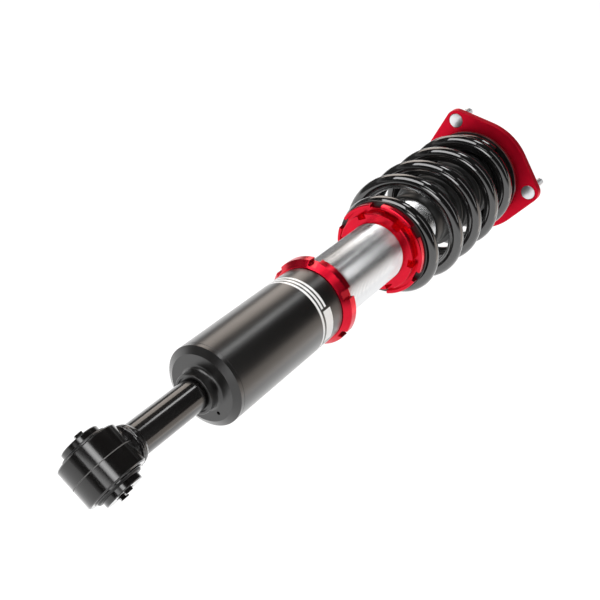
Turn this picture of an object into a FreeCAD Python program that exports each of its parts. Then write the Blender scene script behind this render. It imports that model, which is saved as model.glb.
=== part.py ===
import FreeCAD
import Part
import Sketcher
import math
import os
from types import SimpleNamespace

# A threaded coilover damper with a pillow-ball top mount, standing upright.
# The origin is the centre of the lower eye's bolt bore, +Z runs up the damper
# to the top mount, and the eye's bolt lies along X. All sizes are millimetres.

SIZES = {
    # Lower eye and its bush
    "eye_wall": 3.6,
    "eye_width": 28.2,
    "eye_chamfer": 0.8,
    "bush_shell_wall": 1.3,
    "bush_shell_stand_out": 0.8,
    "rubber_thickness": 2.72,
    "rubber_stand_out": 1.2,
    "sleeve_wall": 6.8,
    "sleeve_width": 40.0,
    "bolt_bore_radius": 6.1,
    "dog_height": 2.0,
    "dog_width": 5.0,
    "dog_length": 3.4,
    # Shaft between the eye and the bracket
    "shaft_radius": 11.25,
    "shaft_foot": 22.0,
    "weld_width": 2.05,
    "weld_height": 4.6,
    # Bracket: end cap and tube
    "cap_face_height": 91.7,
    "bracket_wall": 4.35,
    "bracket_tube_length": 120.5,
    "cap_chamfer_width": 4.9,
    "cap_chamfer_height": 3.1,
    "cap_rim_height": 3.0,
    "cap_plug_height": 8.0,
    "boss_wall": 1.71,
    "boss_height": 8.7,
    "boss_fillet": 2.7,
    "boss_recess_width": 1.5,
    "boss_recess_depth": 1.6,
    "drain_hole_radius": 1.3,
    "drain_hole_offset": 19.3,
    "drain_hole_angle": 14.0,
    # Damper tube and its ends
    "tube_radius": 25.0,
    "tube_wall": 3.5,
    "tube_length": 228.0,
    "tube_engagement": 51.3,
    "thread_gap": 0.05,
    "edge_break": 0.6,
    "base_plug_height": 12.0,
    "charge_port_radius": 2.5,
    "charge_port_depth": 7.0,
    "guide_height": 12.0,
    "guide_bush_wall": 1.0,
    "seal_height": 4.0,
    "seal_lip_width": 4.2,
    "gland_flange_height": 3.0,
    "gland_flange_step": 1.0,
    "gland_thread_height": 4.0,
    "gland_bore_gap": 0.6,
    "spanner_hole_radius": 2.0,
    "spanner_hole_offset": 16.0,
    # Floating piston
    "gas_piston_foot": 23.0,
    "gas_piston_height": 14.0,
    "gas_piston_wall": 5.0,
    "gas_piston_cup_depth": 8.0,
    "ring_section_radius": 1.4,
    # Rings on the thread
    "lock_ring_width": 9.45,
    "lock_ring_height": 11.4,
    "lock_ring_cone_height": 4.5,
    "lock_ring_slot_width": 7.0,
    "lock_ring_slot_depth": 3.2,
    "ring_slots": 6,
    "perch_lock_height": 89.9,
    "perch_lock_width": 8.35,
    "perch_lock_thickness": 8.0,
    "perch_lock_slot_width": 7.0,
    "perch_lock_slot_depth": 4.2,
    "perch_recess_width": 3.1,
    "perch_recess_depth": 3.0,
    "perch_rim_width": 2.8,
    "perch_thickness": 6.0,
    "perch_slot_width": 10.0,
    "perch_slot_overlap": 0.9,
    "perch_spigot_wall": 3.95,
    "perch_spigot_height": 6.0,
    "washer_width": 10.9,
    "washer_thickness": 1.4,
    # Spring
    "wire_radius": 6.2,
    "spring_height": 172.0,
    "spring_seat_gap": 0.8,
    "coil_swell": 8.2,
    "spring_pitch": 37.0,
    "spring_ground_depth": 1.2,
    "spring_ease_turns": 0.45,
    "spring_swell_turns": 0.85,
    "lower_flat_turns": 0.25,
    "upper_flat_turns": 0.38,
    "spring_start_angle": 194.0,
    # Upper seat, bump stop and boot
    "seat_rim": 0.3,
    "seat_thickness": 4.0,
    "seat_hub_gap": 0.6,
    "seat_hub_height": 10.0,
    "seat_step_width": 7.2,
    "seat_step_height": 3.0,
    "soft_gap": 0.4,
    "bump_stop_wall": 7.6,
    "bump_stop_height": 34.0,
    "bump_stop_waist": 3.6,
    "bump_stop_lobes": 3,
    "boot_wall": 1.3,
    "boot_cuff_wall": 1.3,
    "boot_foot_cuff_height": 27.0,
    "boot_top_cuff_height": 7.5,
    "boot_foot_drop": 15.5,
    "boot_rib_depth": 4.0,
    "boot_ribs": 9,
    # Piston rod and piston
    "rod_radius": 7.0,
    "rod_neck_radius": 6.0,
    "rod_tail_radius": 5.0,
    "rod_bore_radius": 1.6,
    "rod_bore_length": 150.0,
    "rod_tail_drop": 51.0,
    "rod_tail_length": 26.0,
    "rod_neck_length": 52.0,
    "fit_gap": 0.04,
    "piston_height": 14.0,
    "piston_gap": 0.2,
    "band_height": 6.0,
    "band_thickness": 1.0,
    "piston_port_radius": 2.2,
    "piston_port_offset": 13.0,
    "piston_ports": 6,
    "shim_radius": 16.0,
    "shim_step": 4.8,
    "shim_stack_height": 2.0,
    "piston_nut_width": 16.0,
    "piston_nut_height": 7.0,
    # Top mount
    "plate_radius": 54.2,
    "plate_thickness": 7.0,
    "plate_height": 10.3,
    "ear_wall": 5.56,
    "stud_circle_radius": 55.5,
    "stud_radius": 4.0,
    "stud_length": 24.5,
    "stud_neck_width": 0.4,
    "stud_head_overhang": 2.6,
    "stud_head_height": 2.2,
    "stud_head_gap": 0.3,
    "boss_outer_wall": 4.96,
    "boss_top_height": 23.7,
    "ball_lip": 3.0,
    "ball_lip_gap": 5.1,
    "race_wall": 3.96,
    "race_height": 16.0,
    "ball_radius": 15.0,
    "ball_width": 18.0,
    "snap_ring_thickness": 1.5,
    "snap_ring_groove_depth": 1.0,
    "snap_ring_width": 3.2,
    "snap_ring_mouth": 12.0,
    # Stack on the rod's neck
    "lower_spacer_wall": 3.46,
    "upper_spacer_wall": 2.96,
    "upper_spacer_height": 6.7,
    "upper_spacer_rim": 2.3,
    "lock_washer_width": 4.46,
    "lock_washer_thickness": 1.5,
    "top_nut_width": 18.0,
    "top_nut_height": 9.5,
    "knob_radius": 8.5,
    "knob_height": 10.0,
    "knob_flute_radius": 1.0,
    "knob_flute_offset": 0.4,
    "knob_flutes": 16,
    "knob_slot_width": 1.6,
    "knob_slot_depth": 1.5,
    "needle_gap": 0.08,
    "needle_taper": 4.5,
    # How far a cut reaches past the face it opens
    "cut_reach": 1.0,
}

HEX_CORNER = 2.0 / math.sqrt(3.0)
RADIUS_MATCH = 0.01


class Size:
    """A length with its number and the sheet expression that gives it."""

    def __init__(self, number, text):
        self.number = number
        self.text = text

    def joined(self, other, sign, number):
        text = other.text if isinstance(other, Size) else repr(other)
        return Size(number, "(%s %s %s)" % (self.text, sign, text))

    def __add__(self, other):
        return self.joined(other, "+", self.number + number_of(other))

    def __sub__(self, other):
        return self.joined(other, "-", self.number - number_of(other))

    def __mul__(self, other):
        return self.joined(other, "*", self.number * number_of(other))

    def __truediv__(self, other):
        return self.joined(other, "/", self.number / number_of(other))

    def __neg__(self):
        return Size(-self.number, "(0 - %s)" % self.text)


def number_of(amount):
    return amount.number if isinstance(amount, Size) else float(amount)


def bind(item, path, amount):
    """Ties a property to the sheet, or sets it where the amount is a bare number."""
    if isinstance(amount, Size):
        item.setExpression(path, amount.text)
    else:
        item.setExpression(path, repr(amount))


def make_sheet(doc):
    sheet = doc.addObject("Spreadsheet::Sheet", "Sizes")
    for row, (name, number) in enumerate(SIZES.items(), start=1):
        sheet.set("A%d" % row, name)
        sheet.set("B%d" % row, str(number))
        sheet.setAlias("B%d" % row, name)
    doc.recompute()
    return SimpleNamespace(
        **{name: Size(float(sheet.get(name)), "Sizes.%s" % name) for name in SIZES})


doc = FreeCAD.newDocument("coilover")
s = make_sheet(doc)
pieces = []
ZERO = Size(0.0, "0")

# Heights up the damper that several pieces share
bracket_tube_foot = s.cap_face_height + s.cap_chamfer_height + s.cap_rim_height
bracket_top = bracket_tube_foot + s.bracket_tube_length
tube_foot = bracket_top - s.tube_engagement
tube_top = tube_foot + s.tube_length
perch_lock_foot = bracket_top + s.lock_ring_height + s.perch_lock_height
perch_foot = perch_lock_foot + s.perch_lock_thickness - s.perch_recess_depth
washer_foot = perch_foot + s.perch_thickness
spring_foot = washer_foot + s.washer_thickness
seat_face = spring_foot + s.spring_height
seat_top = seat_face + s.seat_thickness
plate_face = seat_face + s.plate_height
race_foot = plate_face + s.ball_lip
ball_centre = race_foot + s.race_height / 2.0
ball_foot = ball_centre - s.ball_width / 2.0
ball_top = ball_centre + s.ball_width / 2.0
upper_spacer_top = ball_top + s.upper_spacer_height
washer_top = upper_spacer_top + s.lock_washer_thickness
nut_top = washer_top + s.top_nut_height
rod_top = seat_face + s.rod_neck_length
rod_foot = tube_top - s.rod_tail_drop
shim_shoulder = rod_foot + s.rod_tail_length
piston_top = shim_shoulder - s.shim_stack_height
piston_foot = piston_top - s.piston_height
gland_foot = tube_top - s.gland_thread_height
seal_foot = gland_foot - s.seal_height
guide_foot = seal_foot - s.guide_height

# Radii that several pieces share, each built up from the piece inside it
tube_bore_radius = s.tube_radius - s.tube_wall
inner_piece_radius = tube_bore_radius - s.thread_gap
thread_bore_radius = s.tube_radius + s.thread_gap
rod_bore_in_pieces = s.rod_radius + s.fit_gap
neck_bore_radius = s.rod_neck_radius + s.fit_gap
tail_bore_radius = s.rod_tail_radius + s.fit_gap
sleeve_radius = s.bolt_bore_radius + s.sleeve_wall
rubber_bore_radius = sleeve_radius + s.fit_gap
rubber_radius = rubber_bore_radius + s.rubber_thickness
shell_bore_radius = rubber_radius + s.fit_gap
shell_radius = shell_bore_radius + s.bush_shell_wall
eye_bore_radius = shell_radius + s.fit_gap
eye_radius = eye_bore_radius + s.eye_wall
shell_half = s.eye_width / 2.0 + s.bush_shell_stand_out
shaft_socket_radius = s.shaft_radius + s.fit_gap
weld_radius = s.shaft_radius + s.weld_width
bracket_radius = thread_bore_radius + s.bracket_wall
boss_recess_radius = shaft_socket_radius + s.boss_recess_width
boss_radius = boss_recess_radius + s.boss_wall
lock_ring_radius = thread_bore_radius + s.lock_ring_width
perch_lock_radius = thread_bore_radius + s.perch_lock_width
perch_recess_radius = perch_lock_radius + s.perch_recess_width
perch_radius = perch_recess_radius + s.perch_rim_width
perch_spigot_radius = thread_bore_radius + s.perch_spigot_wall
washer_bore_radius = perch_spigot_radius + s.soft_gap
lower_end_radius = perch_spigot_radius + s.spring_seat_gap + s.wire_radius
coil_radius = lower_end_radius + s.coil_swell
boot_cuff_bore = s.tube_radius + s.soft_gap
seat_hub_radius = boot_cuff_bore - s.seat_hub_gap
seat_step_radius = s.tube_radius + s.seat_step_width
upper_end_radius = seat_step_radius + s.spring_seat_gap + s.wire_radius
seat_radius = upper_end_radius + s.wire_radius + s.seat_rim
bump_stop_radius = s.rod_radius + s.soft_gap + s.bump_stop_wall
race_radius = s.ball_radius + s.fit_gap + s.race_wall
plate_boss_bore = race_radius + s.fit_gap
plate_boss_radius = plate_boss_bore + s.boss_outer_wall
lower_spacer_radius = neck_bore_radius + s.lower_spacer_wall
ball_lip_radius = lower_spacer_radius + s.ball_lip_gap
stud_neck_radius = s.stud_radius + s.stud_neck_width
stud_hole_radius = stud_neck_radius + s.fit_gap
stud_head_radius = s.stud_radius + s.stud_head_overhang
ear_radius = stud_hole_radius + s.ear_wall


def plane(body, role):
    return [item for item in body.Origin.OriginFeatures if item.Role == role][0]


def new_body(label, height=ZERO, several=False):
    """A piece that is modelled from its own base, then set at its height."""
    body = doc.addObject("PartDesign::Body", label)
    body.Label = label
    body.AllowCompound = several
    bind(body, "Placement.Base.z", height)
    pieces.append(body)
    return body


def new_sketch(body, role, name, turn=None):
    sketch = body.newObject("Sketcher::SketchObject", name)
    sketch.AttachmentSupport = [(plane(body, role), "")]
    sketch.MapMode = "FlatFace"
    if turn is not None:
        bind(sketch, "AttachmentOffset.Rotation.Angle", turn)
    return sketch


def pin_point(sketch, edge, point, across, up):
    """Holds a point of an edge at its distances from the sketch's own origin."""
    for kind, axis, amount in (("DistanceX", -2, across), ("DistanceY", -1, up)):
        if number_of(amount) == 0.0 and not isinstance(amount, Size):
            sketch.addConstraint(Sketcher.Constraint("PointOnObject", edge, point, axis))
            continue
        row = sketch.addConstraint(
            Sketcher.Constraint(kind, -1, 1, edge, point, number_of(amount)))
        bind(sketch, "Constraints[%d]" % row, amount)


def outline(sketch, corners):
    """A closed run of straight lines through corners given as (across, up)."""
    spots = [FreeCAD.Vector(number_of(a), number_of(b), 0) for a, b in corners]
    first = sketch.GeometryCount
    total = len(spots)
    for place in range(total):
        sketch.addGeometry(Part.LineSegment(spots[place], spots[(place + 1) % total]), False)
    for place in range(total):
        after = first + (place + 1) % total
        sketch.addConstraint(Sketcher.Constraint("Coincident", first + place, 2, after, 1))
    for place, (across, up) in enumerate(corners):
        pin_point(sketch, first + place, 1, across, up)


def rectangle(sketch, left, right, bottom, top):
    outline(sketch, [(left, bottom), (right, bottom), (right, top), (left, top)])


def round_hole(sketch, across, up, radius):
    centre = FreeCAD.Vector(number_of(across), number_of(up), 0)
    edge = sketch.addGeometry(
        Part.Circle(centre, FreeCAD.Vector(0, 0, 1), number_of(radius)), False)
    if number_of(across) == 0.0 and number_of(up) == 0.0:
        sketch.addConstraint(Sketcher.Constraint("Coincident", edge, 3, -1, 1))
    else:
        pin_point(sketch, edge, 3, across, up)
    row = sketch.addConstraint(Sketcher.Constraint("Radius", edge, number_of(radius)))
    bind(sketch, "Constraints[%d]" % row, radius)


def turned(body, corners, name="turned", about="V_Axis"):
    """A revolved profile: about V_Axis it stands on Z, about H_Axis it lies on X."""
    sketch = new_sketch(body, "XZ_Plane", name + "_profile")
    outline(sketch, corners)
    feature = body.newObject("PartDesign::Revolution", name)
    feature.Profile = sketch
    feature.ReferenceAxis = (sketch, [about])
    feature.Angle = 360
    doc.recompute()
    return feature


def volume_of(body):
    return body.Shape.Volume


def through_cut(body, sketch, name):
    """A pocket through the whole piece, both ways from its sketch."""
    before = volume_of(body)
    pocket = body.newObject("PartDesign::Pocket", name)
    pocket.Profile = sketch
    pocket.Type = "ThroughAll"
    pocket.Midplane = True
    doc.recompute()
    if volume_of(body) >= before:
        raise ValueError("%s cuts nothing" % name)
    return pocket


def ring_pattern(body, feature, sketch, count, name):
    pattern = body.newObject("PartDesign::PolarPattern", name)
    pattern.Originals = [feature]
    pattern.Axis = (sketch, ["N_Axis"])
    pattern.Angle = 360
    bind(pattern, "Occurrences", count)
    body.Tip = pattern
    doc.recompute()
    return pattern


def edge_slots(body, rim_radius, depth, width, count, turn):
    """Square spanner slots through the rim of a ring, evenly spaced."""
    sketch = new_sketch(body, "XY_Plane", "slot_outline", turn)
    rectangle(sketch, rim_radius - depth, rim_radius + depth, -(width / 2.0), width / 2.0)
    slot = through_cut(body, sketch, "slot")
    ring_pattern(body, slot, sketch, count, "slots")


def circles_at(shape, radius, height):
    """Names of the circular edges of a radius at a height above the piece's base."""
    names = []
    for number, edge in enumerate(shape.Edges, start=1):
        curve = edge.Curve
        if not isinstance(curve, Part.Circle):
            continue
        if abs(curve.Radius - number_of(radius)) > RADIUS_MATCH:
            continue
        if abs(curve.Center.z - number_of(height)) < RADIUS_MATCH:
            names.append("Edge%d" % number)
    return names


def round_edges(body, spots, radius, name):
    """Fillets the circular edges at (radius, height) spots of a turned piece."""
    base = body.Tip
    names = []
    for spot in spots:
        names += circles_at(base.Shape, *spot)
    fillet = body.newObject("PartDesign::Fillet", name)
    fillet.Base = (base, names)
    bind(fillet, "Radius", radius)
    doc.recompute()
    return fillet


def plain_ring(label, height, bore, radius, thickness):
    """A flat ring with broken outer edges, such as a washer or a spacer."""
    body = new_body(label, height)
    turned(body, [(bore, 0), (radius, 0), (radius, thickness), (bore, thickness)])
    return body


def bored_hexagon(label, height, width, thickness, bore):
    """A plain hexagon nut with its thread bore."""
    body = new_body(label, height)
    sketch = new_sketch(body, "XY_Plane", "hexagon")
    flat = width / 2.0
    point = flat * HEX_CORNER
    half = point / 2.0
    outline(sketch, [(point, 0), (half, flat), (-half, flat), (-point, 0), (-half, -flat), (half, -flat)])
    round_hole(sketch, ZERO, ZERO, bore)
    pad = body.newObject("PartDesign::Pad", "nut")
    pad.Profile = sketch
    bind(pad, "Length", thickness)
    doc.recompute()
    return body


# Lower eye and bush

def lower_eye():
    """The eye's tube across the damper, with the welded neck that holds the shaft."""
    body = new_body("lower_eye")
    half = s.eye_width / 2.0
    turned(body, [
        (-half, eye_bore_radius), (-half, eye_radius - s.eye_chamfer),
        (s.eye_chamfer - half, eye_radius), (half - s.eye_chamfer, eye_radius),
        (half, eye_radius - s.eye_chamfer), (half, eye_bore_radius)], "eye", "H_Axis")
    weld_top = s.shaft_foot + s.weld_height
    weld_crown = s.shaft_foot + s.weld_height / 2.0
    turned(body, [
        (0, eye_bore_radius), (weld_radius - s.eye_chamfer, eye_bore_radius),
        (weld_radius, s.shaft_foot), (weld_radius, weld_crown),
        (shaft_socket_radius + s.edge_break, weld_top), (shaft_socket_radius, weld_top),
        (shaft_socket_radius, s.shaft_foot), (0, s.shaft_foot)], "neck")
    clear_eye_bore(body)


def clear_eye_bore(body):
    """Opens the bore again where the neck reaches into it."""
    sketch = new_sketch(body, "YZ_Plane", "bore_outline")
    round_hole(sketch, ZERO, ZERO, eye_bore_radius)
    pocket = body.newObject("PartDesign::Pocket", "bore")
    pocket.Profile = sketch
    pocket.Type = "ThroughAll"
    pocket.Midplane = True
    doc.recompute()


def bush_shell():
    body = new_body("bush_shell")
    turned(body, [
        (-shell_half, shell_bore_radius), (-shell_half, shell_radius),
        (shell_half, shell_radius), (shell_half, shell_bore_radius)], "shell", "H_Axis")


def bush_rubber():
    """The rubber between shell and sleeve, standing a little proud at both ends."""
    body = new_body("bush_rubber")
    proud = shell_half + s.rubber_stand_out
    lip = rubber_radius - s.edge_break
    turned(body, [
        (-proud, rubber_bore_radius), (-proud, lip), (-shell_half, rubber_radius),
        (shell_half, rubber_radius), (proud, lip), (proud, rubber_bore_radius)],
        "rubber", "H_Axis")


def bush_sleeve():
    """The inner sleeve that the chassis bolt clamps, with two keying dogs at each end."""
    body = new_body("bush_sleeve")
    half = s.sleeve_width / 2.0
    turned(body, [
        (-half, s.bolt_bore_radius), (-half, sleeve_radius - s.edge_break),
        (s.edge_break - half, sleeve_radius), (half - s.edge_break, sleeve_radius),
        (half, sleeve_radius - s.edge_break), (half, s.bolt_bore_radius)], "sleeve", "H_Axis")
    sketch = new_sketch(body, "YZ_Plane", "dog_outline", DOG_TURN)
    inside = s.bolt_bore_radius + s.edge_break
    outside = inside + s.dog_length
    rectangle(sketch, inside, outside, -(s.dog_width / 2.0), s.dog_width / 2.0)
    rectangle(sketch, -outside, -inside, -(s.dog_width / 2.0), s.dog_width / 2.0)
    pad = body.newObject("PartDesign::Pad", "dogs")
    pad.Profile = sketch
    pad.Midplane = True
    bind(pad, "Length", s.sleeve_width + s.dog_height * 2.0)
    doc.recompute()


DOG_TURN = 18.0


# Lower bracket

def lower_shaft():
    foot = s.shaft_foot
    top = bracket_tube_foot + s.cap_plug_height
    body = new_body("lower_shaft", foot)
    length = top - foot
    turned(body, [(0, 0), (s.shaft_radius, 0), (s.shaft_radius, length), (0, length)])


def bracket_end_cap():
    """The closing cap: a boss round the shaft, a wide chamfer and a plug into the tube."""
    foot = s.cap_face_height - s.boss_height
    body = new_body("bracket_end_cap", foot)
    face = s.boss_height
    chamfer_top = face + s.cap_chamfer_height
    rim_top = chamfer_top + s.cap_rim_height
    plug_top = rim_top + s.cap_plug_height
    bore = shaft_socket_radius
    recess = boss_recess_radius
    plug = thread_bore_radius - s.fit_gap
    turned(body, [
        (recess, 0), (boss_radius, 0), (boss_radius, face),
        (bracket_radius - s.cap_chamfer_width, face), (bracket_radius, chamfer_top),
        (bracket_radius, rim_top), (plug, rim_top), (plug, plug_top),
        (bore, plug_top), (bore, s.boss_recess_depth), (recess, s.boss_recess_depth)])
    round_edges(body, [(boss_radius, face)], s.boss_fillet, "boss_foot")
    round_edges(body, [(boss_radius, ZERO)], s.edge_break, "boss_lip")
    sketch = new_sketch(body, "XY_Plane", "drain_outline", s.drain_hole_angle)
    round_hole(sketch, s.drain_hole_offset, ZERO, s.drain_hole_radius)
    through_cut(body, sketch, "drain_hole")


def bracket_tube():
    body = new_body("bracket_tube", bracket_tube_foot)
    length = s.bracket_tube_length
    edge = s.edge_break
    turned(body, [
        (thread_bore_radius, 0), (bracket_radius - edge / 2.0, 0),
        (bracket_radius, edge / 2.0), (bracket_radius, length - edge),
        (bracket_radius - edge, length), (thread_bore_radius, length)])


# Rings on the tube's thread

def bracket_lock_ring():
    """The jam ring: a coned underside, a plain rim and six spanner slots."""
    body = new_body("bracket_lock_ring", bracket_top)
    edge = s.edge_break
    turned(body, [
        (thread_bore_radius, 0), (bracket_radius + edge, 0),
        (lock_ring_radius, s.lock_ring_cone_height),
        (lock_ring_radius, s.lock_ring_height - edge),
        (lock_ring_radius - edge, s.lock_ring_height),
        (thread_bore_radius, s.lock_ring_height)])
    edge_slots(body, lock_ring_radius, s.lock_ring_slot_depth,
               s.lock_ring_slot_width, s.ring_slots, LOWER_SLOT_TURN)


def perch_lock_ring():
    body = new_body("perch_lock_ring", perch_lock_foot)
    edge = s.edge_break
    turned(body, [
        (thread_bore_radius, 0), (perch_lock_radius - edge, 0),
        (perch_lock_radius, edge), (perch_lock_radius, s.perch_lock_thickness),
        (thread_bore_radius, s.perch_lock_thickness)])
    edge_slots(body, perch_lock_radius, s.perch_lock_slot_depth,
               s.perch_lock_slot_width, s.ring_slots, PERCH_LOCK_TURN)


def spring_perch():
    """The flange that carries the spring: a recess for its lock ring and a spigot on top."""
    body = new_body("spring_perch", perch_foot)
    edge = s.edge_break
    top = s.perch_thickness
    spigot_top = top + s.perch_spigot_height
    turned(body, [
        (thread_bore_radius, s.perch_recess_depth), (perch_recess_radius, s.perch_recess_depth),
        (perch_recess_radius, 0), (perch_radius - edge, 0), (perch_radius, edge),
        (perch_radius, top), (perch_spigot_radius, top),
        (perch_spigot_radius, spigot_top - edge), (perch_spigot_radius - edge, spigot_top),
        (thread_bore_radius, spigot_top)])
    edge_slots(body, perch_radius, s.perch_rim_width + s.perch_slot_overlap,
               s.perch_slot_width, s.ring_slots, PERCH_SLOT_TURN)


LOWER_SLOT_TURN = -122.5
PERCH_LOCK_TURN = -152.0
PERCH_SLOT_TURN = -132.0


def thrust_washer():
    plain_ring("thrust_washer", washer_foot, washer_bore_radius,
               washer_bore_radius + s.washer_width, s.washer_thickness)


# Damper tube and what closes it

def damper_tube():
    body = new_body("damper_tube", tube_foot)
    edge = s.edge_break
    turned(body, [
        (tube_bore_radius, 0), (s.tube_radius - edge, 0), (s.tube_radius, edge),
        (s.tube_radius, s.tube_length - edge), (s.tube_radius - edge, s.tube_length),
        (tube_bore_radius, s.tube_length)])


def base_plug():
    """The threaded plug at the tube's foot, with its gas charging port."""
    body = new_body("base_plug", tube_foot)
    port = s.charge_port_radius
    edge = s.edge_break
    turned(body, [
        (port, 0), (inner_piece_radius - edge, 0), (inner_piece_radius, edge),
        (inner_piece_radius, s.base_plug_height), (0, s.base_plug_height),
        (0, s.charge_port_depth), (port, s.charge_port_depth)])


def rod_guide():
    plain_ring("rod_guide", guide_foot, rod_bore_in_pieces + s.guide_bush_wall + s.fit_gap,
               inner_piece_radius, s.guide_height)


def guide_bush():
    plain_ring("guide_bush", guide_foot, rod_bore_in_pieces,
               rod_bore_in_pieces + s.guide_bush_wall, s.guide_height)


def rod_seal():
    """The lip seal: its inner lip stands up round the rod."""
    body = new_body("rod_seal", seal_foot)
    lip_root = s.rod_radius + s.seal_lip_width
    lip_height = s.seal_height / 2.0
    turned(body, [
        (rod_bore_in_pieces, 0), (inner_piece_radius, 0), (inner_piece_radius, s.seal_height),
        (lip_root, s.seal_height), (lip_root, lip_height),
        (rod_bore_in_pieces + s.edge_break, s.seal_height), (rod_bore_in_pieces, s.seal_height)])


def gland_nut():
    """The threaded gland that closes the tube, turned with a two-pin spanner."""
    body = new_body("gland_nut", gland_foot)
    bore = s.rod_radius + s.gland_bore_gap
    flange = s.tube_radius - s.gland_flange_step
    top = s.gland_thread_height + s.gland_flange_height
    edge = s.edge_break
    turned(body, [
        (bore, 0), (inner_piece_radius, 0), (inner_piece_radius, s.gland_thread_height),
        (flange, s.gland_thread_height), (flange, top - edge), (flange - edge, top), (bore, top)])
    sketch = new_sketch(body, "XY_Plane", "spanner_outline")
    round_hole(sketch, s.spanner_hole_offset, ZERO, s.spanner_hole_radius)
    round_hole(sketch, -s.spanner_hole_offset, ZERO, s.spanner_hole_radius)
    through_cut(body, sketch, "spanner_holes")


# Floating piston between oil and gas

gas_piston_place = tube_foot + s.gas_piston_foot
ring_centre_radius = inner_piece_radius - s.ring_section_radius
ring_centre_height = s.gas_piston_cup_depth + s.ring_section_radius


def floating_piston():
    """A cup with its open side to the gas and a groove for its sealing ring."""
    body = new_body("floating_piston", gas_piston_place)
    groove = ring_centre_radius - s.ring_section_radius - s.fit_gap
    low = ring_centre_height - s.ring_section_radius - s.fit_gap
    high = ring_centre_height + s.ring_section_radius + s.fit_gap
    cup = inner_piece_radius - s.gas_piston_wall
    turned(body, [
        (cup, 0), (inner_piece_radius, 0), (inner_piece_radius, low), (groove, low),
        (groove, high), (inner_piece_radius, high), (inner_piece_radius, s.gas_piston_height),
        (0, s.gas_piston_height), (0, s.gas_piston_cup_depth - s.edge_break),
        (cup, s.gas_piston_cup_depth - s.edge_break)])


def gas_piston_ring():
    ring = doc.addObject("Part::Torus", "gas_piston_ring")
    ring.Label = "gas_piston_ring"
    bind(ring, "Radius1", ring_centre_radius)
    bind(ring, "Radius2", s.ring_section_radius)
    bind(ring, "Placement.Base.z", gas_piston_place + ring_centre_height)
    pieces.append(ring)


# Piston rod and piston

def piston_rod():
    """The rod: a tail for the piston, the ground shank and the threaded neck."""
    body = new_body("piston_rod", rod_foot)
    edge = s.edge_break
    tail = s.rod_tail_length
    shoulder = seat_face - rod_foot
    top = rod_top - rod_foot
    bore_foot = top - s.rod_bore_length
    turned(body, [
        (0, 0), (s.rod_tail_radius - edge, 0), (s.rod_tail_radius, edge),
        (s.rod_tail_radius, tail), (s.rod_radius, tail), (s.rod_radius, shoulder),
        (s.rod_neck_radius, shoulder), (s.rod_neck_radius, top - edge),
        (s.rod_neck_radius - edge, top), (s.rod_bore_radius, top),
        (s.rod_bore_radius, bore_foot), (0, bore_foot)])


def piston():
    """The piston: a groove for its band and a ring of oil ports."""
    body = new_body("piston", piston_foot)
    rim = tube_bore_radius - s.piston_gap
    floor = rim - s.band_thickness
    low = (s.piston_height - s.band_height) / 2.0
    high = low + s.band_height
    edge = s.edge_break
    turned(body, [
        (tail_bore_radius, 0), (rim - edge, 0), (rim, edge), (rim, low), (floor, low),
        (floor, high), (rim, high), (rim, s.piston_height - edge),
        (rim - edge, s.piston_height), (tail_bore_radius, s.piston_height)])
    sketch = new_sketch(body, "XY_Plane", "port_outline")
    round_hole(sketch, s.piston_port_offset, ZERO, s.piston_port_radius)
    port = through_cut(body, sketch, "port")
    ring_pattern(body, port, sketch, s.piston_ports, "ports")


def piston_band():
    low = (s.piston_height - s.band_height) / 2.0
    bore = tube_bore_radius - s.piston_gap - s.band_thickness + s.fit_gap
    plain_ring("piston_band", piston_foot + low + s.fit_gap, bore,
               tube_bore_radius - s.fit_gap, s.band_height - s.fit_gap * 2.0)


def shim_stack(label, height, wide_side_down):
    """Bending valve discs that step down in size away from the piston."""
    body = new_body(label, height)
    middle = s.shim_radius - s.shim_step
    half = s.shim_stack_height / 2.0
    radii = (s.shim_radius, middle) if wide_side_down else (middle, s.shim_radius)
    turned(body, [
        (tail_bore_radius, 0), (radii[0], 0), (radii[0], half), (radii[1], half),
        (radii[1], s.shim_stack_height), (tail_bore_radius, s.shim_stack_height)])


def rebound_shims():
    shim_stack("rebound_shims", piston_foot - s.shim_stack_height, False)


def compression_shims():
    shim_stack("compression_shims", piston_top, True)


def piston_nut():
    height = piston_foot - s.shim_stack_height - s.piston_nut_height
    bored_hexagon("piston_nut", height, s.piston_nut_width, s.piston_nut_height, tail_bore_radius)


# Spring seat, bump stop, boot and spring

def upper_spring_seat():
    """The seat under the ball: a disc, a step inside the end coil and a hub for the boot."""
    body = new_body("upper_spring_seat", seat_face - s.seat_hub_height)
    edge = s.edge_break
    face = s.seat_hub_height
    top = face + s.seat_thickness
    step = face - s.seat_step_height
    hollow = bump_stop_radius + s.soft_gap
    turned(body, [
        (hollow, 0), (seat_hub_radius, 0), (seat_hub_radius, step),
        (seat_step_radius - edge, step), (seat_step_radius, step + edge),
        (seat_step_radius, face), (seat_radius, face), (seat_radius, top - edge),
        (seat_radius - edge, top), (neck_bore_radius, top), (neck_bore_radius, face),
        (hollow, face)])


def bump_stop():
    """A foam stop on the rod under the seat, with a waist below each of its lobes."""
    body = new_body("bump_stop", seat_face - s.bump_stop_height)
    bore = s.rod_radius + s.soft_gap
    lobes = int(s.bump_stop_lobes.number)
    lobe_height = s.bump_stop_height / lobes
    waist = bump_stop_radius - s.bump_stop_waist
    corners = [(bore, 0)]
    for lobe in range(lobes):
        start = lobe_height * lobe
        corners.append((waist, start))
        corners.append((bump_stop_radius, start + lobe_height / 3.0))
        corners.append((bump_stop_radius, start + lobe_height * LOBE_TOP_SHARE))
    corners.append((bump_stop_radius, s.bump_stop_height))
    corners.append((bore, s.bump_stop_height))
    turned(body, corners)


LOBE_TOP_SHARE = 0.8


boot_foot = tube_top - s.boot_foot_drop
boot_top = seat_face - s.seat_step_height - s.soft_gap


RIB_FOOT_SHARE = 0.1
RIB_CROWN_SHARE = 0.4


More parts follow.
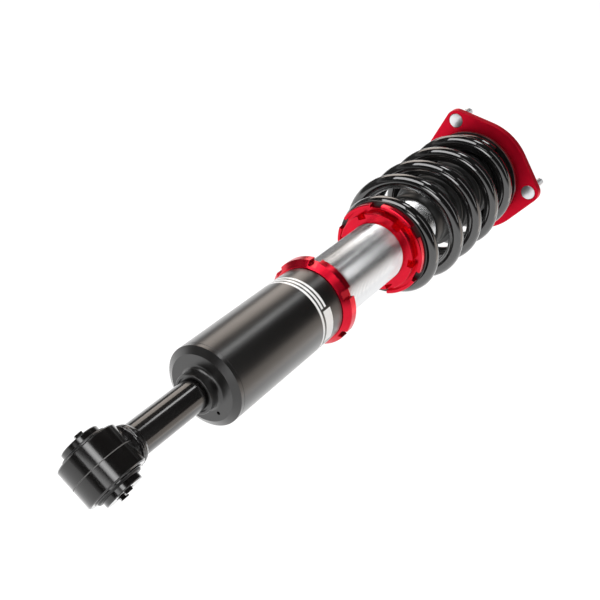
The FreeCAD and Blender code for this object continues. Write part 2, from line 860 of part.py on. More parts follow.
def circle_wire(radius, height):
    """A round section across the damper, its start always on +X."""
    centre = FreeCAD.Vector(0, 0, height)
    return Part.Wire([Part.Circle(centre, FreeCAD.Vector(0, 0, 1), radius).toShape()])


def boot_sections():
    """Radius and height of the boot's outside: foot cuff, ribs, then top cuff."""
    top = boot_top.number - boot_foot.number
    cuff_radius = boot_cuff_bore.number + s.boot_cuff_wall.number
    valley = boot_cuff_bore.number + s.boot_wall.number
    peak = valley + s.boot_rib_depth.number
    ribs_foot = s.boot_foot_cuff_height.number
    ribs_top = top - s.boot_top_cuff_height.number
    ribs = int(s.boot_ribs.number)
    pitch = (ribs_top - ribs_foot) / ribs
    sections = [(cuff_radius, 0.0), (cuff_radius, ribs_foot)]
    for rib in range(ribs):
        start = ribs_foot + rib * pitch
        sections.append((valley, start + pitch * RIB_FOOT_SHARE))
        sections.append((peak, start + pitch * RIB_CROWN_SHARE))
        sections.append((peak, start + pitch * (1.0 - RIB_CROWN_SHARE)))
        sections.append((valley, start + pitch * (1.0 - RIB_FOOT_SHARE)))
    sections.append((cuff_radius, ribs_top))
    sections.append((cuff_radius, top))
    return sections


def dust_boot():
    """A ribbed rubber boot from the tube's top to the seat's hub, open right through."""
    outside = boot_sections()
    wall = s.boot_wall.number
    bore = boot_cuff_bore.number
    ribs = outside[2:-2]
    inside = [(bore, outside[0][1]), (bore, outside[1][1])]
    inside += [(radius - wall, height) for radius, height in ribs]
    inside += [(bore, outside[-2][1]), (bore, outside[-1][1])]
    shell = Part.makeLoft([circle_wire(*section) for section in outside], True, True)
    hollow = Part.makeLoft([circle_wire(*section) for section in inside], True, True)
    add_feature("dust_boot", shell.cut(hollow), boot_foot)


def add_feature(label, shape, height):
    """A piece with a computed shape, drawn from its own base and set at its height."""
    feature = doc.addObject("Part::Feature", label)
    feature.Label = label
    feature.Shape = shape
    bind(feature, "Placement.Base.z", height)
    pieces.append(feature)


def eased(amount):
    """Rises from 0 to 1 with level ends."""
    amount = min(1.0, max(0.0, amount))
    return amount * amount * (3.0 - 2.0 * amount)


def ease_in(turns, ease):
    """Turns climbed after an even start from level over the ease."""
    if turns <= 0.0:
        return 0.0
    if turns < ease:
        return turns * turns / (2.0 * ease)
    return turns - ease / 2.0


def spring_turns():
    """Turns the wire climbs at full pitch, with both ends ground flat."""
    buried = s.wire_radius.number - s.spring_ground_depth.number
    return (s.spring_height.number - 2.0 * buried) / s.spring_pitch.number


def spring_line(turns):
    """A point on the wire's centre line, counted in turns from the start of the rise."""
    low = s.wire_radius.number - s.spring_ground_depth.number
    ease = s.spring_ease_turns.number
    rise = spring_turns()
    length = rise + ease
    climbed = ease_in(turns, ease) - ease_in(turns - rise, ease)
    height = low + s.spring_pitch.number * climbed
    swell = s.spring_swell_turns.number
    lower_blend = eased(turns / swell)
    upper_blend = eased((turns - length + swell) / swell)
    radius = lower_end_radius.number
    radius += (coil_radius.number - lower_end_radius.number) * lower_blend
    radius += (upper_end_radius.number - coil_radius.number) * upper_blend
    angle = math.radians(s.spring_start_angle.number) + 2.0 * math.pi * turns
    return FreeCAD.Vector(radius * math.cos(angle), radius * math.sin(angle), height)


def spring_span():
    """First and last turn of the wire, its flat end coils with it."""
    rise_end = spring_turns() + s.spring_ease_turns.number
    return -s.lower_flat_turns.number, rise_end + s.upper_flat_turns.number


def direction_at(turns):
    step = 0.0005
    along = spring_line(turns + step) - spring_line(turns - step)
    return along.normalize()


def arc_from(start, along, end):
    """The arc that leaves start in a direction and reaches end."""
    chord = end - start
    side = along.cross(chord).cross(along).normalize()
    radius = chord.dot(chord) / (2.0 * chord.dot(side))
    centre = start + side * radius
    half = (chord * 0.5 + start - centre).normalize()
    return Part.Arc(start, centre + half * radius, end).toShape()


def biarc(start, along, end, leaving):
    """Two arcs that join smoothly and keep the directions at both ends."""
    chord = end - start
    both = along + leaving
    a = 2.0 * (1.0 - along.dot(leaving))
    b = 2.0 * chord.dot(both)
    c = -chord.dot(chord)
    reach = (-b + math.sqrt(b * b - 4.0 * a * c)) / (2.0 * a) if a > 1e-9 else -c / b
    near = start + along * reach
    far = end - leaving * reach
    joint = (near + far) * 0.5
    middle = (far - near).normalize()
    return [arc_from(start, along, joint), arc_from(joint, middle, end)]


def spring_path():
    first, last = spring_span()
    quarters = int(math.ceil((last - first) / 0.25))
    marks = [first + (last - first) * step / quarters for step in range(quarters + 1)]
    edges = []
    for begin, finish in zip(marks, marks[1:]):
        edges += biarc(spring_line(begin), direction_at(begin),
                       spring_line(finish), direction_at(finish))
    return Part.Wire(edges)


def least_gap(points_per_turn):
    """The smallest space between one turn of the wire and another."""
    first, last = spring_span()
    count = int((last - first) * points_per_turn)
    spots = [spring_line(first + (last - first) * step / count) for step in range(count + 1)]
    apart = points_per_turn // 2
    smallest = min(
        spots[i].distanceToPoint(spots[j])
        for i in range(count + 1) for j in range(i + apart, count + 1))
    return smallest - 2.0 * s.wire_radius.number


def coil_spring():
    """One unbroken wire with closed, ground ends that are narrower than its middle."""
    path = spring_path()
    first, last = spring_span()
    section = Part.Circle(spring_line(first), direction_at(first), s.wire_radius.number)
    pipe = Part.BRepOffsetAPI.MakePipeShell(path)
    pipe.add(Part.Wire([section.toShape()]))
    pipe.build()
    pipe.makeSolid()
    wire = pipe.shape()
    reach = coil_radius.number + 2.0 * s.wire_radius.number
    ground = wire.common(Part.makeCylinder(reach, s.spring_height.number))
    add_feature("coil_spring", ground, spring_foot)
    print("coil_spring volume %.0f" % ground.Volume)
    print("coil_spring least gap to itself %.2f mm" % least_gap(48))


# Top mount

EARS = 3
EAR_STEP = 360.0 / EARS
STUD_TURN = 90.0


def ear_outline(sketch):
    """Three round ears joined to the middle circle by straight tangent sides."""
    plate = s.plate_radius.number
    ear = ear_radius.number
    reach = s.stud_circle_radius.number
    lean = math.degrees(math.acos((plate - ear) / reach))
    edges = []

    def spot(radius, degrees):
        return FreeCAD.Vector(
            radius * math.cos(math.radians(degrees)), radius * math.sin(math.radians(degrees)), 0)

    up = FreeCAD.Vector(0, 0, 1)
    for ear_number in range(EARS):
        at = STUD_TURN + EAR_STEP * ear_number
        centre = spot(reach, at)
        before = at - lean
        after = at + lean
        line_in = Part.LineSegment(spot(plate, before), centre + spot(ear, before))
        ear_arc = Part.ArcOfCircle(
            Part.Circle(centre, up, ear), math.radians(before), math.radians(after))
        line_out = Part.LineSegment(centre + spot(ear, after), spot(plate, after))
        side_arc = Part.ArcOfCircle(
            Part.Circle(FreeCAD.Vector(0, 0, 0), up, plate),
            math.radians(after), math.radians(at + EAR_STEP - lean))
        edges += [sketch.addGeometry(item, False)
                  for item in (line_in, ear_arc, line_out, side_arc)]
    for number in range(EARS):
        line_in, ear_arc, line_out, side_arc = edges[4 * number:4 * number + 4]
        next_line = edges[(4 * number + 4) % len(edges)]
        sketch.addConstraint(Sketcher.Constraint("Tangent", line_in, 2, ear_arc, 1))
        sketch.addConstraint(Sketcher.Constraint("Tangent", ear_arc, 2, line_out, 1))
        sketch.addConstraint(Sketcher.Constraint("Tangent", line_out, 2, side_arc, 1))
        sketch.addConstraint(Sketcher.Constraint("Tangent", side_arc, 2, next_line, 1))
        sketch.addConstraint(Sketcher.Constraint("Coincident", side_arc, 3, -1, 1))
        row = sketch.addConstraint(Sketcher.Constraint("Radius", side_arc, plate))
        bind(sketch, "Constraints[%d]" % row, s.plate_radius)
        row = sketch.addConstraint(Sketcher.Constraint("Radius", ear_arc, ear))
        bind(sketch, "Constraints[%d]" % row, ear_radius)
        at = math.radians(STUD_TURN + EAR_STEP * number)
        pin_point(sketch, ear_arc, 3, s.stud_circle_radius * round(math.cos(at), 12),
                  s.stud_circle_radius * round(math.sin(at), 12))


def top_plate():
    """The chassis plate: three ears, a raised boss for the ball and its snap-ring groove."""
    body = new_body("top_plate", plate_face)
    sketch = new_sketch(body, "XY_Plane", "plate_outline")
    ear_outline(sketch)
    pad = body.newObject("PartDesign::Pad", "plate")
    pad.Profile = sketch
    bind(pad, "Length", s.plate_thickness)
    doc.recompute()
    inside = race_radius - s.cut_reach
    edge = s.edge_break
    turned(body, [
        (inside, s.plate_thickness / 2.0), (plate_boss_radius, s.plate_thickness / 2.0),
        (plate_boss_radius, s.boss_top_height - edge),
        (plate_boss_radius - edge, s.boss_top_height), (inside, s.boss_top_height)], "boss")
    bore_ball_seat(body)
    stud_holes(body)


def bore_ball_seat(body):
    """Opens the plate for the ball: a lip below, the race's seat and the ring's groove."""
    sketch = new_sketch(body, "XZ_Plane", "seat_profile")
    race = plate_boss_bore
    shelf = s.ball_lip + s.race_height
    groove = race + s.snap_ring_groove_depth
    groove_top = shelf + s.snap_ring_thickness + s.fit_gap * 2.0
    above = s.boss_top_height + s.cut_reach
    below = -s.cut_reach
    outline(sketch, [
        (0, below), (ball_lip_radius, below), (ball_lip_radius, s.ball_lip),
        (race, s.ball_lip), (race, shelf), (groove, shelf), (groove, groove_top),
        (race, groove_top), (race, above), (0, above)])
    before = volume_of(body)
    groove_cut = body.newObject("PartDesign::Groove", "ball_seat")
    groove_cut.Profile = sketch
    groove_cut.ReferenceAxis = (sketch, ["V_Axis"])
    groove_cut.Angle = 360
    doc.recompute()
    if volume_of(body) >= before:
        raise ValueError("the ball seat cuts nothing")


def stud_holes(body):
    """Press holes for the studs, each with a sunk seat for the stud's head."""
    through = new_sketch(body, "XY_Plane", "stud_hole_outline", STUD_TURN)
    round_hole(through, s.stud_circle_radius, ZERO, stud_hole_radius)
    hole = through_cut(body, through, "stud_hole")
    ring_pattern(body, hole, through, float(EARS), "stud_holes")
    sunk = new_sketch(body, "XY_Plane", "stud_seat_outline", STUD_TURN)
    round_hole(sunk, s.stud_circle_radius, ZERO, stud_head_radius + s.stud_head_gap)
    before = volume_of(body)
    seat = body.newObject("PartDesign::Pocket", "stud_seat")
    seat.Profile = sunk
    bind(seat, "Length", s.stud_head_height)
    seat.Reversed = True
    doc.recompute()
    if volume_of(body) >= before:
        raise ValueError("the stud seat cuts nothing")
    ring_pattern(body, seat, sunk, float(EARS), "stud_seats")


def top_studs():
    """Three press-in studs: a flush head, a wider neck in the plate and the free thread."""
    body = new_body("top_studs", plate_face, several=True)
    length = s.plate_thickness + s.stud_length
    edge = s.edge_break
    sketch = new_sketch(body, "YZ_Plane", "stud_profile")
    middle = s.stud_circle_radius
    outline(sketch, [
        (middle, 0), (middle + stud_head_radius, 0),
        (middle + stud_head_radius, s.stud_head_height),
        (middle + stud_neck_radius, s.stud_head_height),
        (middle + stud_neck_radius, s.plate_thickness),
        (middle + s.stud_radius, s.plate_thickness), (middle + s.stud_radius, length - edge),
        (middle + s.stud_radius - edge, length), (middle, length)])
    feature = body.newObject("PartDesign::Revolution", "stud")
    feature.Profile = sketch
    feature.ReferenceAxis = (sketch, ["Edge9"])
    feature.Angle = 360
    doc.recompute()
    flat = new_sketch(body, "XY_Plane", "stud_axis")
    round_hole(flat, ZERO, ZERO, s.stud_radius)
    ring_pattern(body, feature, flat, float(EARS), "studs")


def solid_primitive(kind, name, **sizes):
    item = doc.addObject(kind, name)
    for path, amount in sizes.items():
        bind(item, path.replace("__", "."), amount)
    return item


def boolean_piece(kind, label, base, tool, height, is_piece=True):
    item = doc.addObject(kind, label)
    item.Label = label
    item.Base = base
    item.Tool = tool
    if is_piece:
        bind(item, "Placement.Base.z", height)
        pieces.append(item)
    return item


def ball_race():
    """The split-free outer race: a ring with a spherical seat."""
    ring = solid_primitive("Part::Cylinder", "race_ring", Radius=race_radius,
                           Height=s.race_height)
    hollow = solid_primitive("Part::Sphere", "race_hollow", Radius=s.ball_radius + s.fit_gap,
                             Placement__Base__z=s.race_height / 2.0)
    boolean_piece("Part::Cut", "ball_race", ring, hollow, race_foot)


def pillow_ball():
    """The ball, flat above and below, bored for the rod's neck."""
    sphere = solid_primitive("Part::Sphere", "ball_sphere", Radius=s.ball_radius,
                             Placement__Base__z=s.ball_width / 2.0)
    slab = solid_primitive("Part::Cylinder", "ball_slab", Radius=s.ball_radius,
                           Height=s.ball_width)
    zone = doc.addObject("Part::MultiCommon", "ball_zone")
    zone.Shapes = [sphere, slab]
    bore = solid_primitive("Part::Cylinder", "ball_bore", Radius=neck_bore_radius,
                           Height=s.ball_width)
    boolean_piece("Part::Cut", "pillow_ball", zone, bore, ball_foot)


def snap_ring():
    """The spring-steel ring that keeps the race in, with its open mouth."""
    outer = race_radius + s.snap_ring_groove_depth
    body = plain_ring("snap_ring", race_foot + s.race_height + s.fit_gap,
                      outer - s.snap_ring_width, outer, s.snap_ring_thickness)
    sketch = new_sketch(body, "XY_Plane", "mouth_outline")
    rectangle(sketch, ZERO, outer + s.snap_ring_width,
              -(s.snap_ring_mouth / 2.0), s.snap_ring_mouth / 2.0)
    through_cut(body, sketch, "mouth")


# Stack on the rod's neck

def lower_spacer():
    plain_ring("lower_spacer", seat_top, neck_bore_radius, lower_spacer_radius,
               ball_foot - seat_top)


def upper_spacer():
    body = new_body("upper_spacer", ball_top)
    radius = neck_bore_radius + s.upper_spacer_wall
    turned(body, [
        (neck_bore_radius, 0), (radius, 0), (radius, s.upper_spacer_rim),
        (radius - s.edge_break, s.upper_spacer_height),
        (neck_bore_radius, s.upper_spacer_height)])


def lock_washer():
    plain_ring("lock_washer", upper_spacer_top, neck_bore_radius,
               neck_bore_radius + s.lock_washer_width, s.lock_washer_thickness)


def top_nut():
    bored_hexagon("top_nut", washer_top, s.top_nut_width, s.top_nut_height, neck_bore_radius)


def adjuster_knob():
    """The damping knob: a fluted rim and a screwdriver slot."""
    body = new_body("adjuster_knob", rod_top + s.fit_gap)
    edge = s.edge_break
    turned(body, [
        (0, 0), (s.knob_radius, 0), (s.knob_radius, s.knob_height - edge),
        (s.knob_radius - edge, s.knob_height), (0, s.knob_height)])
    flute = new_sketch(body, "XY_Plane", "flute_outline")
    round_hole(flute, s.knob_radius + s.knob_flute_offset, ZERO, s.knob_flute_radius)
    groove = through_cut(body, flute, "flute")
    ring_pattern(body, groove, flute, s.knob_flutes, "flutes")
    slot = new_sketch(body, "XY_Plane", "slot_outline")
    bind(slot, "AttachmentOffset.Base.z", s.knob_height - s.knob_slot_depth)
    half = s.knob_slot_width / 2.0
    rectangle(slot, -s.knob_radius, s.knob_radius, -half, half)
    cut = body.newObject("PartDesign::Pocket", "slot")
    cut.Profile = slot
    bind(cut, "Length", s.knob_slot_depth * 2.0)
    cut.Reversed = True
    doc.recompute()


def adjuster_needle():
    """The needle in the rod's bore that the knob turns."""
    foot = rod_top - s.rod_bore_length + s.edge_break
    body = new_body("adjuster_needle", foot)
    length = rod_top + s.fit_gap - foot
    radius = s.rod_bore_radius - s.needle_gap
    turned(body, [(0, 0), (radius, s.needle_taper), (radius, length), (0, length)])


BUILDERS = [
    lower_eye, bush_shell, bush_rubber, bush_sleeve, lower_shaft, bracket_end_cap, bracket_tube,
    bracket_lock_ring, perch_lock_ring, spring_perch, thrust_washer, damper_tube, base_plug,
    rod_guide, guide_bush, rod_seal, gland_nut, floating_piston, gas_piston_ring, piston_rod,
    piston, piston_band, rebound_shims, compression_shims, piston_nut, upper_spring_seat,
    bump_stop, dust_boot, coil_spring, top_plate, top_studs, ball_race, pillow_ball, snap_ring,
    lower_spacer, upper_spacer, lock_washer, top_nut, adjuster_knob, adjuster_needle,
]


def check_document():
    """Stops if an object of the document failed or a piece has no sound solid."""
    for item in doc.Objects:
        if "Invalid" in item.State or "Error" in item.State:
            raise ValueError("%s failed: %s" % (item.Label, item.State))
    for piece in pieces:
        if piece.Shape.isNull() or not piece.Shape.isValid() or not piece.Shape.Solids:
            raise ValueError("%s has no sound solid" % piece.Label)


def write_pieces():
    os.makedirs("parts", exist_ok=True)
    for piece in pieces:
        piece.Shape.exportStep("parts/%s.step" % piece.Label)


for build in BUILDERS:
    build()
doc.recompute()
check_document()
write_pieces()
print("%d pieces written" % len(pieces))
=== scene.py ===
import math

import bmesh
import bpy
from bpy.props import FloatProperty, FloatVectorProperty, IntProperty, PointerProperty
from mathutils import Matrix, Vector


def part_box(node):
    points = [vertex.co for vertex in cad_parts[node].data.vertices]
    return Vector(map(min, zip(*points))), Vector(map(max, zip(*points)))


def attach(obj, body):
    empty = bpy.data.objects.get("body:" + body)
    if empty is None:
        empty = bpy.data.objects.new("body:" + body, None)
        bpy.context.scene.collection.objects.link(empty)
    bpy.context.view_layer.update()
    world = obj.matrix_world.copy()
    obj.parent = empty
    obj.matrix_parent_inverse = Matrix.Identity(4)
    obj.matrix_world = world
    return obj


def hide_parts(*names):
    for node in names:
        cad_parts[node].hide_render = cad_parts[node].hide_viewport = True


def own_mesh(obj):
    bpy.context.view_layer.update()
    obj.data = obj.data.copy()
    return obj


bl_info = {
    "name": "Threaded coilover",
    "version": (1, 0, 0),
    "blender": (4, 5, 0),
    "location": "3D View > Sidebar > Coilover",
    "description": "Dresses a threaded coilover damper: spring, boot, thread, rings and finishes",
    "category": "Object",
}

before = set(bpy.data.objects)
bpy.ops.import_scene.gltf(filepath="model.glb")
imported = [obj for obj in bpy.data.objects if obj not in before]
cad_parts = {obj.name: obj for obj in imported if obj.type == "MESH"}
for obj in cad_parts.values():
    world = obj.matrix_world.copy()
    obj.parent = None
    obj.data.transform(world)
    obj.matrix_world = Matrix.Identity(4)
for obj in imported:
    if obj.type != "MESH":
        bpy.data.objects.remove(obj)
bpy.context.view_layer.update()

MM = 0.001
FULL_TURN = 2.0 * math.pi
UP = Vector((0.0, 0.0, 1.0))
ORIGIN = Vector((0.0, 0.0, 0.0))

# Points nearer than this are one: in a new mesh, in a CAD mesh or one that was cut, and where a
# thread's turns meet
NEW_GAP = 0.000001
CAD_GAP = 0.000002
TURN_GAP = 0.000004

# A measure of the imported model that its boxes don't give
SEAT_FLANGE = 0.004


def length(name, description, default):
    return FloatProperty(name=name, description=description, default=default, unit="LENGTH",
                         precision=5)


def colour(name, description, default):
    return FloatVectorProperty(name=name, description=description, default=default,
                               subtype="COLOR", size=3, min=0.0, max=1.0)


class CoiloverSizes(bpy.types.PropertyGroup):
    thread_pitch: length("Tube thread pitch", "Rise of the tube's thread in one turn", 0.0020)
    thread_depth: length("Tube thread depth", "Depth of the tube's thread", 0.0006)
    wire_radius: length("Spring wire radius", "Half the spring wire's thickness", 0.0062)
    coil_swell: length("Spring swell", "How much wider the middle coils are than the end coil",
                       0.0082)
    spring_pitch: length("Spring pitch", "Rise of the spring in one free turn", 0.037)
    stud_pitch: length("Stud thread pitch", "Rise of the stud's thread in one turn", 0.00125)
    boot_ribs: IntProperty(name="Boot ribs", description="Ribs of the dust boot", default=9)
    stripe_width: length("Stripe width", "Height of one printed stripe", 0.0023)
    stripe_step: length("Stripe step", "Height from one stripe to the next", 0.0038)
    stripe_foot: length("Lowest stripe", "Height of the lowest stripe's middle", 0.193)


class CoiloverColours(bpy.types.PropertyGroup):
    red: colour("Anodised red", "Rings and top plate", (0.72, 0.004, 0.027))
    black: colour("Satin black", "Bracket, shaft and eye", (0.0046, 0.0041, 0.0039))
    seam: colour("Rubbed seam", "Raised seam round the eye", (0.10, 0.097, 0.094))
    spring: colour("Spring black", "Powder coat of the spring", (0.0045, 0.0044, 0.0044))
    rubber: colour("Rubber black", "Boot, bush and seals", (0.008, 0.008, 0.008))
    plated: colour("Bright plating", "Damper tube and bare metal", (0.86, 0.865, 0.875))
    zinc: colour("Zinc", "Studs, nuts and washers", (0.85, 0.86, 0.88))
    print_white: colour("Print", "Stripes and panel on the bracket", (0.82, 0.82, 0.81))


def sizes():
    return bpy.context.scene.coilover_sizes


def colours():
    return bpy.context.scene.coilover_colours


# Shader building

class Value:
    """A shader number that can be written into sums, such as 1 - mask * 0.5."""

    def __init__(self, tree, socket):
        self.tree = tree
        self.socket = socket

    def math(self, operation, first, second=None):
        node = self.tree.nodes.new("ShaderNodeMath")
        node.operation = operation
        for place, amount in enumerate((first, second)):
            if isinstance(amount, Value):
                self.tree.links.new(amount.socket, node.inputs[place])
            elif amount is not None:
                node.inputs[place].default_value = amount
        return Value(self.tree, node.outputs[0])

    def __add__(self, other):
        return self.math("ADD", self, other)

    __radd__ = __add__

    def __mul__(self, other):
        return self.math("MULTIPLY", self, other)

    __rmul__ = __mul__

    def __sub__(self, other):
        return self.math("SUBTRACT", self, other)

    def __rsub__(self, other):
        return self.math("SUBTRACT", other, self)

    def __truediv__(self, other):
        return self.math("DIVIDE", self, other)

    def __rtruediv__(self, other):
        return self.math("DIVIDE", other, self)

    def __gt__(self, other):
        return self.math("GREATER_THAN", self, other)

    def __lt__(self, other):
        return self.math("LESS_THAN", self, other)

    def call(self, operation, other=None):
        return self.math(operation, self, other)

    def held(self):
        """Kept within 0 and 1."""
        return self.call("MINIMUM", 1.0).call("MAXIMUM", 0.0)

    def soft_step(self, start, end):
        """0 before the start and 1 past the end, with a soft edge between them."""
        share = ((self - start) / (end - start)).held()
        return share * share * (3.0 - share * 2.0)

    def between(self, low, high):
        return (self > low) * (self < high)


class Wiring:
    """A node tree under construction, whose nodes all come from one method."""

    def __init__(self, tree, output, coordinates):
        self.tree = tree
        self.tree.nodes.clear()
        self.output = self.node(output)
        self.coordinates = self.node("TexCoord").outputs[coordinates]

    def node(self, kind, settings=None, sockets=None):
        """A node by type, its settings first and then the values or links of its sockets."""
        made = self.tree.nodes.new("ShaderNode" + kind)
        for name, setting in (settings or {}).items():
            setattr(made, name, setting)
        for name, amount in (sockets or {}).items():
            self.feed(made.inputs[name], amount)
        return made

    def feed(self, socket, amount):
        if isinstance(amount, Value):
            amount = amount.socket
        if isinstance(amount, bpy.types.NodeSocket):
            self.tree.links.new(amount, socket)
        elif socket.type == "RGBA":
            socket.default_value = (*amount, 1.0)
        else:
            socket.default_value = amount

    def value(self, socket):
        return Value(self.tree, socket)

    def axes(self):
        """The X, Y and Z of a point in metres, or in the world those of a direction."""
        parts = self.node("SeparateXYZ", sockets={"Vector": self.coordinates})
        return [self.value(parts.outputs[place]) for place in range(3)]

    def rays(self, *kinds):
        """For each kind of ray, such as Camera, a value that is 1 for that kind alone."""
        light = self.node("LightPath")
        return [self.value(light.outputs[f"Is {kind} Ray"]) for kind in kinds]

    def mix_shaders(self, mask, first, second):
        """The first shader where the mask is 0 and the second where it is 1."""
        return self.node("MixShader", sockets={
            0: mask, 1: first.outputs[0], 2: second.outputs[0]})

    def show(self, shader):
        self.feed(self.output.inputs["Surface"], shader.outputs[0])


class Finish(Wiring):
    """A material under construction."""

    def __init__(self, name):
        self.material = bpy.data.materials.new(name)
        self.material.use_nodes = True
        super().__init__(self.material.node_tree, "OutputMaterial", "Object")
        self.shader = self.node("BsdfPrincipled")
        self.show(self.shader)

    def set(self, **sockets):
        for name, amount in sockets.items():
            self.feed(self.shader.inputs[name.replace("_", " ")], amount)

    def noise(self, scale, detail, stretch=(1.0, 1.0, 1.0)):
        """A cloudy pattern from 0 to 1, so many waves to the metre."""
        mapped = self.node("Mapping", sockets={"Vector": self.coordinates, "Scale": stretch})
        made = self.node("TexNoise", sockets={
            "Vector": mapped.outputs[0], "Scale": scale, "Detail": detail})
        return self.value(made.outputs[0])

    def mix(self, mask, first, second):
        """The first colour where the mask is 0 and the second where it is 1."""
        made = self.node("Mix", {"data_type": "RGBA"}, {"Factor": mask})
        colour_inputs = [socket for socket in made.inputs if socket.type == "RGBA"]
        for socket, amount in zip(colour_inputs, (first, second)):
            self.feed(socket, amount)
        return [socket for socket in made.outputs if socket.type == "RGBA"][0]

    def bump(self, height, distance):
        return self.node("Bump", sockets={"Distance": distance, "Height": height}).outputs[0]


def shade(tone, amount):
    return tuple(min(1.0, part * amount) for part in tone)


# The clouds of a plain finish: waves to the metre, darkest and palest tone, and least roughness
# and its rise as parts of the roughness asked for
CLOUD_WAVES = 90.0
CLOUD_DARK = 0.86
CLOUD_PALE = 1.12
CLOUD_ROUGHNESS = 0.85
CLOUD_ROUGHNESS_RISE = 0.3


def plain_finish(name, tone, roughness, metallic=0.0, coat=0.0, coat_roughness=0.1,
                 grain=1600.0, depth=0.00002, mirror=0.5):
    """A coated or machined surface with fine grain, faint clouding and uneven gloss."""
    finish = Finish(name)
    clouds = finish.noise(CLOUD_WAVES, detail=3.0)
    grains = finish.noise(grain, detail=2.0)
    tone_mix = finish.mix(clouds, shade(tone, CLOUD_DARK), shade(tone, CLOUD_PALE))
    finish.set(Base_Color=tone_mix, Metallic=metallic, Coat_Weight=coat,
               Coat_Roughness=coat_roughness, Specular_IOR_Level=mirror)
    finish.set(Roughness=roughness * CLOUD_ROUGHNESS + clouds * (roughness * CLOUD_ROUGHNESS_RISE))
    finish.set(Normal=finish.bump(grains, depth))
    return finish


def satin_black():
    return plain_finish("satin_black_coat", colours().black, 0.30, mirror=0.4, coat=1.0,
                        coat_roughness=0.28, depth=0.000006)


def eye_black():
    return plain_finish("eye_black_coat", colours().black, 0.20, mirror=0.3, coat=1.0,
                        coat_roughness=0.12, depth=0.000001)


def gloss_black():
    finish = plain_finish("gloss_black_coat", colours().black, 0.3, mirror=0.2, coat=1.0,
                          coat_roughness=0.11, depth=0.0000008)
    finish.set(Coat_IOR=1.72)
    return finish


def spring_coat():
    finish = plain_finish("spring_powder_coat", colours().spring, 0.3, mirror=0.1, coat=1.0,
                          coat_roughness=0.07, grain=500.0, depth=0.0000012)
    finish.set(Coat_IOR=2.0)
    return finish


def boot_rubber():
    return plain_finish("moulded_rubber", colours().rubber, 0.36, mirror=0.6, grain=900.0,
                        depth=0.00001)


def red_anodising():
    """Dyed aluminium: finely grained red metal under a thin clear layer."""
    return plain_finish("red_anodising", colours().red, 0.25, metallic=0.92, coat=0.2,
                        coat_roughness=0.16, grain=2200.0, depth=0.000003)


def plate_red():
    """The plate's dye on a blasted, duller surface."""
    return plain_finish("red_anodised_plate", colours().red, 0.40, metallic=0.75,
                        grain=2600.0, depth=0.000006, mirror=0.2)


def seam_black():
    return plain_finish("rubbed_seam", colours().seam, 0.4)


def bright_steel():
    return plain_finish("bright_zinc", colours().zinc, 0.3, metallic=1.0, grain=1200.0)


def ground_steel():
    return plain_finish("ground_chrome", colours().plated, 0.12, metallic=1.0, depth=0.000004)


def machined_aluminium():
    return plain_finish("machined_aluminium", colours().plated, 0.32, metallic=1.0)


def plated_thread():
    """The tube's bright plating, with soft lengthwise streaks and painted shade in the thread
    roots.
    """
    finish = Finish("bright_plated_thread")
    depth = sizes().thread_depth
    root_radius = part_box("damper_tube")[1].x - depth
    # The last amount darkens the thread roots: painted shade in the grooves between the turns.
    dark_streak, pale_streak, painted_root_shade = [
        shade(colours().plated, amount) for amount in (0.92, 1.1, 0.85)]
    x, y, _ = finish.axes()
    streaks = finish.noise(160.0, detail=3.0, stretch=(1.0, 1.0, 0.04))
    flecks = finish.noise(900.0, detail=2.0)
    crest = (((x * x + y * y).call("SQRT") - root_radius) / depth).held()
    # Towards each thread root the tone falls to the darker root tone, which is painted shade.
    tone = finish.mix(crest, painted_root_shade, finish.mix(streaks, dark_streak, pale_streak))
    finish.set(Base_Color=tone, Metallic=1.0, Roughness=0.16 + streaks * 0.08 + flecks * 0.05)
    finish.set(Normal=finish.bump(flecks, 0.000006))
    return finish


# Round the bracket tube: the angles that the two upper stripes leave free, the angles and heights
# of the panel in that gap, and how strong worn ink is and how much fresh ink adds
STRIPE_GAP = (math.radians(-66.0), math.radians(-8.0))
PANEL_ANGLES = (math.radians(-62.0), math.radians(-12.0))
PANEL_HEIGHTS = (0.1963, 0.2053)
WORN_INK = 0.86
FRESH_INK = 0.28


def printed_bracket():
    """Satin black tube with three white stripes round it and a plain pale panel."""
    finish = plain_finish("printed_satin_black", colours().black, 0.32, mirror=0.4, coat=1.0,
                          coat_roughness=0.3, depth=0.000004)
    x, y, z = finish.axes()
    angle = y.call("ARCTAN2", x)
    half = sizes().stripe_width / 2.0
    low, middle, high = [
        z.between(height - half, height + half) for height in
        [sizes().stripe_foot + sizes().stripe_step * number for number in range(3)]]
    clear = 1.0 - angle.between(*STRIPE_GAP)
    stripes = (low + (middle + high) * clear).call("MINIMUM", 1.0)
    panel = angle.between(*PANEL_ANGLES) * z.between(*PANEL_HEIGHTS)
    wear = finish.noise(1500.0, detail=4.0)
    ink = (WORN_INK + wear * FRESH_INK).call("MINIMUM", 1.0)
    base = finish.shader.inputs["Base Color"].links[0].from_socket
    finish.set(Base_Color=finish.mix(
        stripes.call("MAXIMUM", panel) * ink, base, colours().print_white))
    return finish


FINISHES = {}


def finish_named(maker):
    """A finish is made once and shared by the pieces that have it."""
    if maker.__name__ not in FINISHES:
        FINISHES[maker.__name__] = maker().material
    return FINISHES[maker.__name__]


# Mesh building

# Angles in degrees: faces that lean less are joined, edges that turn more are chamfered, and
# edges that turn more on a chamfered piece stay sharp
FLAT_ANGLE = 0.5
CHAMFERED_ABOVE = 28.0
SHARP_ABOVE = 21.0

# The plain end on each side of a thread
PLAIN_END = 0.0006


def placed(name, data):
    """An object with this mesh, curve, lamp or camera, in the scene."""
    made = bpy.data.objects.new(name, data)
    bpy.context.scene.collection.objects.link(made)
    return made


def dress(name, mesh, body, maker, sharp_angle):
    """Makes a finished mesh into a piece that rides on its body."""
    piece = placed(name, mesh)
    mesh.materials.clear()
    mesh.materials.append(finish_named(maker))
    for face in mesh.polygons:
        face.use_smooth = True
        face.material_index = 0
    mesh.set_sharp_from_angle(angle=math.radians(sharp_angle))
    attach(piece, body)
    return piece


